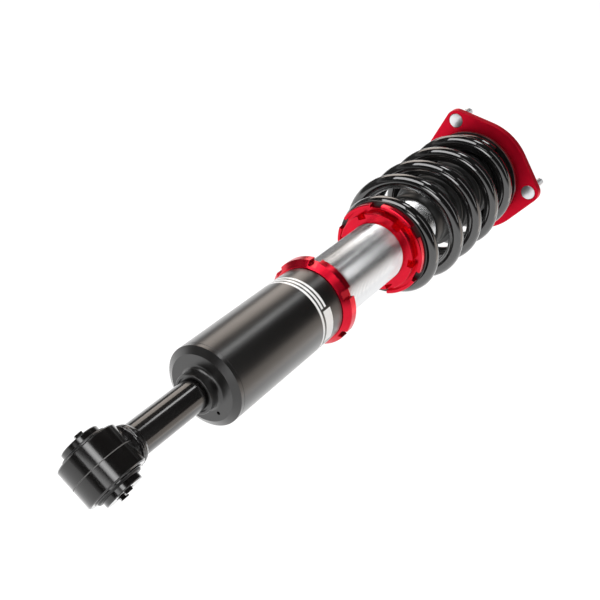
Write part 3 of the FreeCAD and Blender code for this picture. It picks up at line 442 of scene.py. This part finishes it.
def mesh_from(shape, name):
    mesh = bpy.data.meshes.new(name)
    shape.to_mesh(mesh)
    shape.free()
    return mesh


def everything(shape):
    return shape.verts[:] + shape.edges[:] + shape.faces[:]


def points_in(items):
    return [item for item in items if isinstance(item, bmesh.types.BMVert)]


def merged_copy(node):
    """A CAD node's mesh with its doubles merged and its flat faces joined."""
    shape = bmesh.new()
    shape.from_mesh(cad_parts[node].data)
    bmesh.ops.remove_doubles(shape, verts=shape.verts, dist=CAD_GAP)
    bmesh.ops.dissolve_limit(shape, angle_limit=math.radians(FLAT_ANGLE), verts=shape.verts,
                             edges=shape.edges, use_dissolve_boundaries=False)
    return shape


def chamfer(shape, width):
    """Cuts a small chamfer in two steps on every sharp edge."""
    limit = math.radians(CHAMFERED_ABOVE)
    edges = [edge for edge in shape.edges
             if len(edge.link_faces) == 2 and edge.calc_face_angle(0.0) > limit]
    bmesh.ops.bevel(shape, geom=edges, affect="EDGES", offset=width, segments=2, profile=0.5,
                    material=-1, clamp_overlap=True)


def chamfered_copy(node, width, body, maker):
    """The CAD piece with its sharp edges chamfered.

    The steps' own edges stay sharp and large faces weigh most, so that long faces shade true.
    """
    shape = merged_copy(node)
    chamfer(shape, width)
    bmesh.ops.dissolve_degenerate(shape, edges=shape.edges, dist=CAD_GAP)
    piece = dress("dressed_" + node, mesh_from(shape, node), body, maker, SHARP_ABOVE)
    even = piece.modifiers.new("even_normals", "WEIGHTED_NORMAL")
    even.keep_sharp = True
    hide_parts(node)


def cut_off(shape, height, above):
    """Cuts away what is above a height, or else below it, and gives the rims that this opens."""
    made = bmesh.ops.bisect_plane(shape, geom=everything(shape), plane_co=UP * height,
                                  plane_no=UP, clear_inner=not above, clear_outer=above)
    return [item for item in made["geom_cut"]
            if isinstance(item, bmesh.types.BMEdge) and item.is_boundary]


def spun(profile, steps):
    """A turned piece from the corners of its closed outline, given as (radius, height)."""
    shape = bmesh.new()
    corners = [shape.verts.new((radius, 0.0, height)) for radius, height in profile]
    for first, second in zip(corners, corners[1:] + corners[:1]):
        shape.edges.new((first, second))
    bmesh.ops.spin(shape, geom=shape.verts[:] + shape.edges[:], cent=ORIGIN, axis=UP,
                   dvec=ORIGIN, angle=FULL_TURN, steps=steps, use_merge=True,
                   use_duplicate=False)
    bmesh.ops.remove_doubles(shape, verts=shape.verts, dist=NEW_GAP)
    bmesh.ops.recalc_face_normals(shape, faces=shape.faces)
    return shape


def screw_thread(root, crest, pitch, low, high, steps):
    """A threaded wall between two heights, as one tooth swept along its helix.

    The tooth's corners are given as (radius, share of the pitch).
    """
    shape = bmesh.new()
    tooth = [(root, 0.0), (root, 0.17), (crest, 0.42), (crest, 0.58), (root, 0.83), (root, 1.0)]
    start = low - pitch
    corners = [shape.verts.new((radius, 0.0, start + share * pitch)) for radius, share in tooth]
    for first, second in zip(corners, corners[1:]):
        shape.edges.new((first, second))
    bmesh.ops.spin(shape, geom=shape.verts[:] + shape.edges[:], cent=ORIGIN, axis=UP,
                   dvec=UP * (pitch / steps), angle=FULL_TURN, steps=steps,
                   use_merge=False, use_duplicate=False)
    turns = 1
    while turns * pitch < high - start:
        made = bmesh.ops.duplicate(shape, geom=everything(shape))
        bmesh.ops.translate(shape, verts=points_in(made["geom"]), vec=UP * (pitch * turns))
        turns *= 2
    bmesh.ops.remove_doubles(shape, verts=shape.verts, dist=TURN_GAP)
    cut_off(shape, low, above=False)
    cut_off(shape, high, above=True)
    return shape


def open_rim(shape, height):
    return [edge for edge in shape.edges if edge.is_boundary
            and all(abs(vert.co.z - height) < CAD_GAP for vert in edge.verts)]


def collar(shape, height, radius, next_height):
    """Carries the open rim at a height on to a new radius and height."""
    made = bmesh.ops.extrude_edge_only(shape, edges=open_rim(shape, height))
    for vert in points_in(made["geom"]):
        direction = Vector((vert.co.x, vert.co.y, 0.0)).normalized()
        vert.co = direction * radius + UP * next_height


def threaded_sleeve(bore, root, crest, pitch, low, high, steps):
    """A closed sleeve with a thread outside, or a solid threaded pin where the bore is 0."""
    shape = screw_thread(root, crest, pitch, low + PLAIN_END, high - PLAIN_END, steps)
    for near, far in ((low + PLAIN_END, low), (high - PLAIN_END, high)):
        collar(shape, near, root - PLAIN_END / 2.0, far)
        collar(shape, far, bore, far)
    if bore > 0.0:
        rims = [edge for edge in shape.edges if edge.is_boundary]
        bmesh.ops.bridge_loops(shape, edges=rims)
    bmesh.ops.remove_doubles(shape, verts=shape.verts, dist=NEW_GAP)
    bmesh.ops.recalc_face_normals(shape, faces=shape.faces)
    return shape


# Pieces

class COILOVER_OT_plain_nodes(bpy.types.Operator):
    """Gives the inner pieces that keep their CAD shape their finishes"""

    bl_idname = "coilover.plain_nodes"
    bl_label = "Inner pieces"

    def execute(self, context):
        for node, maker in INNER_FINISHES.items():
            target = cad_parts[node]
            target.data.materials.clear()
            target.data.materials.append(finish_named(maker))
        return {"FINISHED"}


INNER_FINISHES = {
    "base_plug": machined_aluminium, "rod_guide": machined_aluminium,
    "guide_bush": machined_aluminium, "rod_seal": boot_rubber,
    "floating_piston": machined_aluminium, "gas_piston_ring": boot_rubber,
    "piston": machined_aluminium, "piston_band": boot_rubber,
    "rebound_shims": bright_steel, "compression_shims": bright_steel,
    "piston_nut": bright_steel, "adjuster_needle": bright_steel, "bump_stop": boot_rubber,
    "pillow_ball": ground_steel, "piston_rod": ground_steel,
}


class COILOVER_OT_machined_pieces(bpy.types.Operator):
    """Rounds the sharp edges of the turned and milled pieces and gives them their finishes"""

    bl_idname = "coilover.machined_pieces"
    bl_label = "Machined pieces"

    def execute(self, context):
        for node, body, slot, maker, width in MACHINED_PIECES:
            chamfered_copy(node, width * MM, body, maker)
        return {"FINISHED"}


MACHINED_PIECES = [
    ("lower_eye", "bracket", "black_paint", eye_black, 0.4),
    ("bush_shell", "bracket", "zinc_steel", eye_black, 0.2),
    ("bush_rubber", "bracket", "rubber_black", boot_rubber, 0.4),
    ("bush_sleeve", "bush_inner", "zinc_steel", eye_black, 0.3),
    ("lower_shaft", "bracket", "black_gloss", gloss_black, 0.2),
    ("bracket_end_cap", "bracket", "black_satin", satin_black, 0.25),
    ("bracket_tube", "bracket", "black_satin", printed_bracket, 0.15),
    ("bracket_lock_ring", "bracket_ring", "red_anodised", red_anodising, 0.4),
    ("perch_lock_ring", "perch_lock", "red_anodised", red_anodising, 0.35),
    ("spring_perch", "perch", "red_anodised", red_anodising, 0.4),
    ("thrust_washer", "perch_carrier", "nylon_black", boot_rubber, 0.2),
    ("gland_nut", "damper_body", "black_satin", satin_black, 0.2),
    ("upper_spring_seat", "damper_rod", "black_satin", satin_black, 0.3),
    ("top_plate", "top_mount", "red_anodised", plate_red, 0.5),
    ("ball_race", "top_mount", "bearing_steel", ground_steel, 0.2),
    ("snap_ring", "top_mount", "zinc_steel", bright_steel, 0.15),
    ("lower_spacer", "damper_rod", "plain_aluminium", machined_aluminium, 0.25),
    ("upper_spacer", "damper_rod", "plain_aluminium", machined_aluminium, 0.25),
    ("lock_washer", "damper_rod", "zinc_steel", bright_steel, 0.2),
    ("top_nut", "damper_rod", "zinc_steel", bright_steel, 0.4),
    ("adjuster_knob", "adjuster", "red_anodised", red_anodising, 0.2),
]


class COILOVER_OT_threaded_tube(bpy.types.Operator):
    """Cuts the damper tube's thread as one helix and closes its ends and bore"""

    bl_idname = "coilover.threaded_tube"
    bl_label = "Threaded tube"

    band_clearance = 0.00004
    steps_per_turn = 72

    def execute(self, context):
        low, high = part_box("damper_tube")
        crest = high.x
        root = crest - sizes().thread_depth
        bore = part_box("piston_band")[1].x + self.band_clearance
        shape = threaded_sleeve(bore, root, crest, sizes().thread_pitch, low.z, high.z,
                                self.steps_per_turn)
        piece = dress("threaded_damper_tube", mesh_from(shape, "threaded_tube"),
                      "damper_body", plated_thread, sharp_angle=20.0)
        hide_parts("damper_tube")
        return {"FINISHED"}


class COILOVER_OT_threaded_studs(bpy.types.Operator):
    """Gives the three studs their thread above the plate"""

    bl_idname = "coilover.threaded_studs"
    bl_label = "Threaded studs"

    plate_thickness = 0.007
    plain_neck = 0.0008
    head_radius = 0.0066
    crest = 0.004
    thread_depth = 0.0006
    edge_chamfer = 0.0002
    steps_per_turn = 24

    def execute(self, context):
        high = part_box("top_studs")[1]
        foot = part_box("top_plate")[0].z + self.plate_thickness + self.plain_neck
        shape = merged_copy("top_studs")
        bmesh.ops.holes_fill(shape, edges=cut_off(shape, foot, above=True))
        chamfer(shape, self.edge_chamfer)
        circle = high.y - self.head_radius
        for number in range(3):
            pin = threaded_sleeve(0.0, self.crest - self.thread_depth, self.crest,
                                  sizes().stud_pitch, foot, high.z, self.steps_per_turn)
            angle = math.radians(90.0 + 120.0 * number)
            bmesh.ops.translate(pin, verts=pin.verts, vec=Vector(
                (circle * math.cos(angle), circle * math.sin(angle), 0.0)))
            part = mesh_from(pin, "pin")
            shape.from_mesh(part)
            bpy.data.meshes.remove(part)
        piece = dress("threaded_top_studs", mesh_from(shape, "top_studs"), "top_mount",
                      bright_steel, sharp_angle=40.0)
        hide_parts("top_studs")
        return {"FINISHED"}


class COILOVER_OT_weld_bead(bpy.types.Operator):
    """Lays the rippled weld round the shaft's foot and the raised seam round the eye"""

    bl_idname = "coilover.weld_bead"
    bl_label = "Weld and seam"

    # How deep the inner corners of both lie in the metal, and how deep the seam's edges do
    buried = 0.0004
    seam_edge = 0.00002

    shaft_radius = 0.01125
    bead_steps = 120
    bead_height = 0.0066
    bead_reach = 0.0024
    bead_slope = 0.0022
    bead_curve = 1.8
    bead_root = 0.001
    ridges = 4
    ridge_depth = 0.0005
    ridge_steps = 6
    seam_steps = 160
    seam_half_width = 0.00035
    seam_rise = 0.00018

    # Waves round the shaft, how far they twist up the bead, and their depth
    ripples = ((34.0, 9.0, 0.00010), (7.0, 5.0, 0.00016))

    def execute(self, context):
        low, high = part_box("lower_eye")
        self.bead(high.z)
        self.seam(-low.z)
        return {"FINISHED"}

    def bead(self, top):
        foot = top - self.bead_height
        reach = self.shaft_radius + self.bead_reach
        corners = [(self.shaft_radius - self.buried, foot - self.bead_root)]
        steps = self.ridges * self.ridge_steps
        for step in range(steps + 1):
            share = step / steps
            wave = abs(math.sin(math.pi * share * self.ridges))
            lean = reach - self.bead_slope * share ** self.bead_curve
            corners.append((lean + self.ridge_depth * wave, foot + (top - foot) * share))
        corners.append((self.shaft_radius - self.buried, top))
        shape = spun(corners, self.bead_steps)
        for vert in shape.verts:
            radius = math.hypot(vert.co.x, vert.co.y)
            if radius > self.shaft_radius:
                angle = math.atan2(vert.co.y, vert.co.x)
                share = (vert.co.z - foot) / (top - foot)
                rise = sum(math.sin(angle * waves + share * twist) * depth
                           for waves, twist, depth in self.ripples)
                scale = (radius + rise * (1.0 - share)) / radius
                vert.co.x *= scale
                vert.co.y *= scale
        dress("weld_bead", mesh_from(shape, "weld_bead"), "bracket", gloss_black,
              sharp_angle=60.0)

    def seam(self, radius):
        half = self.seam_half_width
        inner = radius - self.buried
        edge = radius - self.seam_edge
        shape = spun([(inner, -half), (edge, -half), (radius + self.seam_rise, 0.0),
                      (edge, half), (inner, half)], self.seam_steps)
        bmesh.ops.rotate(shape, verts=shape.verts, cent=ORIGIN,
                         matrix=Matrix.Rotation(math.radians(90.0), 3, "Y"))
        dress("eye_seam", mesh_from(shape, "eye_seam"), "bracket", seam_black,
              sharp_angle=60.0)


def eased(share):
    share = min(1.0, max(0.0, share))
    return share * share * (3.0 - 2.0 * share)


def climb(turns, ease):
    """Turns climbed after an even start from level over the ease."""
    if turns <= 0.0:
        return 0.0
    if turns < ease:
        return turns * turns / (2.0 * ease)
    return turns - ease / 2.0


def seat_face():
    """The height of the face that the spring and the boot hang from."""
    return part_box("upper_spring_seat")[1].z - SEAT_FLANGE


class COILOVER_OT_coil_spring(bpy.types.Operator):
    """Winds the spring as one smooth wire with closed, ground ends"""

    bl_idname = "coilover.coil_spring"
    bl_label = "Coil spring"

    ease = 0.45
    swell_turns = 0.85
    flat_below = 0.25
    flat_above = 0.38
    ground_depth = 0.0012
    lower_spigot = 0.029
    upper_spigot = 0.0322
    spigot_clearance = 0.0008
    start_angle = math.radians(194.0)
    steps_per_turn = 56

    def centre_line(self, turns, rise, low, lower_radius, upper_radius):
        size = sizes()
        height = low + size.spring_pitch * (
            climb(turns, self.ease) - climb(turns - rise, self.ease))
        end = rise + self.ease
        coil_radius = lower_radius + size.coil_swell
        radius = lower_radius + size.coil_swell * eased(turns / self.swell_turns)
        radius += (upper_radius - coil_radius) * eased(
            (turns - end + self.swell_turns) / self.swell_turns)
        angle = self.start_angle + FULL_TURN * turns
        return (radius * math.cos(angle), radius * math.sin(angle), height, 1.0)

    def execute(self, context):
        size = sizes()
        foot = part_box("thrust_washer")[1].z
        face = seat_face()
        buried = size.wire_radius - self.ground_depth
        rise = (face - foot - 2.0 * buried) / size.spring_pitch
        lower_radius = self.lower_spigot + self.spigot_clearance + size.wire_radius
        upper_radius = self.upper_spigot + self.spigot_clearance + size.wire_radius
        first = -self.flat_below
        last = rise + self.ease + self.flat_above
        count = int((last - first) * self.steps_per_turn)
        curve = bpy.data.curves.new("spring_wire", "CURVE")
        curve.dimensions = "3D"
        curve.bevel_depth = size.wire_radius
        curve.bevel_resolution = 8
        curve.use_fill_caps = True
        line = curve.splines.new("POLY")
        line.points.add(count)
        for step, point in enumerate(line.points):
            turns = first + (last - first) * step / count
            point.co = self.centre_line(turns, rise, foot + buried, lower_radius, upper_radius)
        wire = placed("spring_wire", curve)
        context.view_layer.update()
        mesh = bpy.data.meshes.new_from_object(wire.evaluated_get(
            context.evaluated_depsgraph_get()))
        bpy.data.objects.remove(wire)
        shape = bmesh.new()
        shape.from_mesh(mesh)
        bmesh.ops.remove_doubles(shape, verts=shape.verts, dist=NEW_GAP)
        for height, above in ((foot, False), (face, True)):
            bmesh.ops.holes_fill(shape, edges=cut_off(shape, height, above))
        bmesh.ops.dissolve_degenerate(shape, edges=shape.edges, dist=CAD_GAP)
        bmesh.ops.recalc_face_normals(shape, faces=shape.faces)
        piece = dress("wound_coil_spring", mesh_from(shape, "coil_spring"), "damper_rod",
                      spring_coat, sharp_angle=50.0)
        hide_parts("coil_spring")
        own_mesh(piece)
        return {"FINISHED"}


class COILOVER_OT_dust_boot(bpy.types.Operator):
    """Moulds the boot: a foot cuff, round ribs and a top cuff, all with a real wall"""

    bl_idname = "coilover.dust_boot"
    bl_label = "Dust boot"

    bore = 0.0254
    wall = 0.0013
    foot_cuff_height = 0.027
    top_cuff_height = 0.0075
    edge_round = 0.0005
    rib_depth = 0.004
    rib_curve = 1.4
    rib_steps = 12
    rib_lift = 0.0002
    neck_lift = 0.0004
    steps = 128

    def execute(self, context):
        low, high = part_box("dust_boot")
        foot = low.z
        top = high.z
        outer = self.bore + self.wall
        rounded = outer - self.edge_round
        ribs = sizes().boot_ribs
        start = foot + self.foot_cuff_height
        neck = top - self.top_cuff_height
        pitch = (neck - start) / ribs
        outside = [(rounded, foot), (outer, foot + self.edge_round),
                   (outer, start - self.edge_round), (rounded, start)]
        inside = [(self.bore, foot), (self.bore, start)]
        for step in range(ribs * self.rib_steps + 1):
            share = step / self.rib_steps
            height = start + pitch * share
            wave = 0.5 - 0.5 * math.cos(FULL_TURN * share)
            lift = self.rib_depth * wave ** self.rib_curve
            outside.append((outer + lift, height + self.rib_lift))
            inside.append((self.bore + lift, height))
        neck += self.neck_lift
        outside += [(rounded, neck), (outer, neck + self.edge_round),
                    (outer, top - self.edge_round), (rounded, top)]
        inside += [(self.bore, neck), (self.bore, top)]
        shape = spun(outside + inside[::-1], self.steps)
        piece = dress("ribbed_dust_boot", mesh_from(shape, "dust_boot"), "damper_rod",
                      boot_rubber, sharp_angle=60.0)
        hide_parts("dust_boot")
        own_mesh(piece)
        return {"FINISHED"}


# Stage

WHITE = (1.0, 1.0, 1.0)
WARM = (1.0, 0.89, 0.80)

# How far the floor lies behind the damper's axis, its middle's height, and half its width
FLOOR_DEPTH = 0.11
FLOOR_HEIGHT = 0.25
FLOOR_REACH = 3.0

# The paper's two tones, how white it glows, and how much of the glow shows on it
PAPER_TONES = ((0.9, 0.9, 0.9), (0.93, 0.93, 0.93))
PAPER_GLOW = 1.15
GLOW_SHARE = 0.75

# Metal and gloss mirror the floor dark to the left of the first X and white from the second on
PAPER_DARK_BEFORE = -0.30
PAPER_WHITE_FROM = -0.23
PAPER_DARK = 0.1

# How bright the room's dark side is in a mirror, and the soft light all round
ROOM_DIM = 0.015
SOFT_LIGHT = 0.5

# The room's white side in a mirror, all of it behind the object and a low part beside it: where
# a direction's X, Y or Z begins to be white, and where it is fully white
BEHIND_Y = (-0.2, 0.3)
BESIDE_X = (0.0, 0.2)
BESIDE_Y = (-0.5, -0.25)
BESIDE_Z = (0.5, 0.2)

# Where the photograph was taken from, the two directions that turn the camera, and its lens in mm
CAMERA_PLACE = (0.0622, -0.4728, -0.2899)
CAMERA_RIGHT = (0.68527, -0.48283, 0.54523)
CAMERA_AHEAD = (-0.09898, 0.67995, 0.72655)
CAMERA_LENS = 56.74


class COILOVER_OT_stage(bpy.types.Operator):
    """Sets the pale floor, the soft lamps, the white surroundings and the camera"""

    bl_idname = "coilover.stage"
    bl_label = "Stage"

    def execute(self, context):
        self.floor()
        self.lamps()
        self.world(context)
        self.camera(context)
        return {"FINISHED"}

    def floor(self):
        """A pale plane that is seen, and shaded, from its front only."""
        shape = bmesh.new()
        bmesh.ops.create_grid(shape, x_segments=1, y_segments=1, size=FLOOR_REACH)
        turn = UP.rotation_difference(Vector((0.0, -1.0, 0.0))).to_matrix().to_4x4()
        move = Matrix.Translation((0.0, FLOOR_DEPTH, FLOOR_HEIGHT))
        bmesh.ops.transform(shape, matrix=move @ turn, verts=shape.verts)
        mesh = mesh_from(shape, "stage_floor")
        mesh.materials.append(self.paper())
        placed("stage_floor", mesh)

    def paper(self):
        """Pale paper that glows where it is seen or mirrored, and is clear from behind."""
        finish = Finish("stage_paper")
        camera, glossy, passing, shadow = finish.rays("Camera", "Glossy", "Transmission", "Shadow")
        behind = finish.value(finish.node("NewGeometry").outputs["Backfacing"])
        x = finish.axes()[0]
        fibres = finish.noise(60.0, detail=4.0)
        finish.set(Base_Color=finish.mix(fibres, *PAPER_TONES), Roughness=0.9)
        glow = finish.node("Emission", sockets={"Color": WHITE, "Strength": PAPER_GLOW})
        dark = finish.node("Emission", sockets={"Color": WHITE, "Strength": PAPER_DARK})
        clear = finish.node("BsdfTransparent")
        seen = (camera + glossy + passing).call("MINIMUM", 1.0)
        beyond = 1.0 - x.soft_step(PAPER_DARK_BEFORE, PAPER_WHITE_FROM)
        paper = finish.mix_shaders(
            seen, finish.shader, finish.mix_shaders(GLOW_SHARE, finish.shader, glow))
        paper = finish.mix_shaders(beyond * glossy, paper, dark)
        finish.show(finish.mix_shaders(behind.call("MAXIMUM", shadow), paper, clear))
        return finish.material

    def lamps(self):
        for name, place, aim, width, height, tint, power, spread in LAMPS:
            data = bpy.data.lights.new(name, "AREA")
            data.shape = "RECTANGLE"
            data.size = width
            data.size_y = height
            data.energy = power
            data.color = tint
            data.spread = math.radians(spread)
            lamp = placed(name, data)
            lamp.location = place
            ahead = UP * aim - Vector(place)
            lamp.rotation_euler = ahead.to_track_quat("-Z", "Y").to_euler()

    def world(self, context):
        """White where it is seen, white or dim where it is mirrored, and soft light elsewhere."""
        world = bpy.data.worlds.new("studio_surround")
        context.scene.world = world
        world.use_nodes = True
        room = Wiring(world.node_tree, "OutputWorld", "Generated")
        x, y, z = room.axes()
        camera, glossy, passing = room.rays("Camera", "Glossy", "Transmission")
        beside = x.soft_step(*BESIDE_X) * y.soft_step(*BESIDE_Y) * z.soft_step(*BESIDE_Z)
        white = y.soft_step(*BEHIND_Y).call("MAXIMUM", beside)
        seen = (camera + passing).call("MINIMUM", 1.0)
        mirrored = glossy * (1.0 - seen)
        level = seen + mirrored * (ROOM_DIM + white * (1.0 - ROOM_DIM)) \
            + (1.0 - seen) * (1.0 - mirrored) * SOFT_LIGHT
        room.show(room.node("Background", sockets={"Color": WHITE, "Strength": level}))

    def camera(self, context):
        """Stands where the photograph was taken, below the eye and looking up the damper."""
        data = bpy.data.cameras.new("photo_camera")
        data.sensor_fit = "AUTO"
        data.sensor_width = 36.0
        data.lens = CAMERA_LENS
        data.clip_start = 0.01
        camera = placed("photo_camera", data)
        right = Vector(CAMERA_RIGHT).normalized()
        ahead = Vector(CAMERA_AHEAD).normalized()
        above = right.cross(ahead).normalized()
        turn = Matrix((right, above, -ahead)).transposed().to_4x4()
        camera.matrix_world = Matrix.Translation(CAMERA_PLACE) @ turn
        context.scene.camera = camera
        context.scene.view_settings.view_transform = "Standard"


# Name, place, the height it is aimed at, width, height, colour, power and spread of each lamp
LAMPS = [
    ("lamp_top", (-0.45, -0.85, 0.94), 0.15, 0.20, 0.42, WHITE, 1.1, 180.0),
    ("lamp_front", (0.55, -1.03, 0.56), 0.25, 1.20, 0.28, WHITE, 1.2, 180.0),
    ("lamp_low_front", (0.09, -0.52, -0.66), 0.45, 0.40, 0.42, WHITE, 0.22, 60.0),
    ("lamp_foot", (-0.13, -1.09, -0.48), 0.0, 0.42, 0.44, WHITE, 0.14, 36.0),
    ("lamp_low_left", (-0.75, -0.77, -0.12), 0.25, 0.90, 0.66, WHITE, 6.6, 180.0),
    ("lamp_left", (-0.85, -0.19, 1.00), 0.25, 0.55, 0.80, WARM, 3.0, 180.0),
    ("lamp_right", (0.85, -0.20, 1.00), 0.25, 0.80, 0.80, WARM, 2.2, 180.0),
]


class COILOVER_PT_panel(bpy.types.Panel):
    bl_idname = "COILOVER_PT_panel"
    bl_label = "Coilover"
    bl_space_type = "VIEW_3D"
    bl_region_type = "UI"
    bl_category = "Coilover"

    def draw(self, context):
        layout = self.layout
        for group in (context.scene.coilover_sizes, context.scene.coilover_colours):
            for name in group.__annotations__:
                layout.prop(group, name)
        for operator in OPERATORS:
            layout.operator(operator.bl_idname)


OPERATORS = [
    COILOVER_OT_plain_nodes, COILOVER_OT_machined_pieces, COILOVER_OT_threaded_tube,
    COILOVER_OT_threaded_studs, COILOVER_OT_weld_bead, COILOVER_OT_coil_spring,
    COILOVER_OT_dust_boot, COILOVER_OT_stage,
]
CLASSES = [CoiloverSizes, CoiloverColours] + OPERATORS + [COILOVER_PT_panel]


def register():
    for item in CLASSES:
        bpy.utils.register_class(item)
    bpy.types.Scene.coilover_sizes = PointerProperty(type=CoiloverSizes)
    bpy.types.Scene.coilover_colours = PointerProperty(type=CoiloverColours)


def unregister():
    del bpy.types.Scene.coilover_colours
    del bpy.types.Scene.coilover_sizes
    for item in reversed(CLASSES):
        bpy.utils.unregister_class(item)


def main():
    register()
    bpy.ops.coilover.plain_nodes()
    bpy.ops.coilover.machined_pieces()
    bpy.ops.coilover.threaded_tube()
    bpy.ops.coilover.threaded_studs()
    bpy.ops.coilover.weld_bead()
    bpy.ops.coilover.coil_spring()
    bpy.ops.coilover.dust_boot()
    bpy.ops.coilover.stage()


if __name__ == "__main__":
    main()
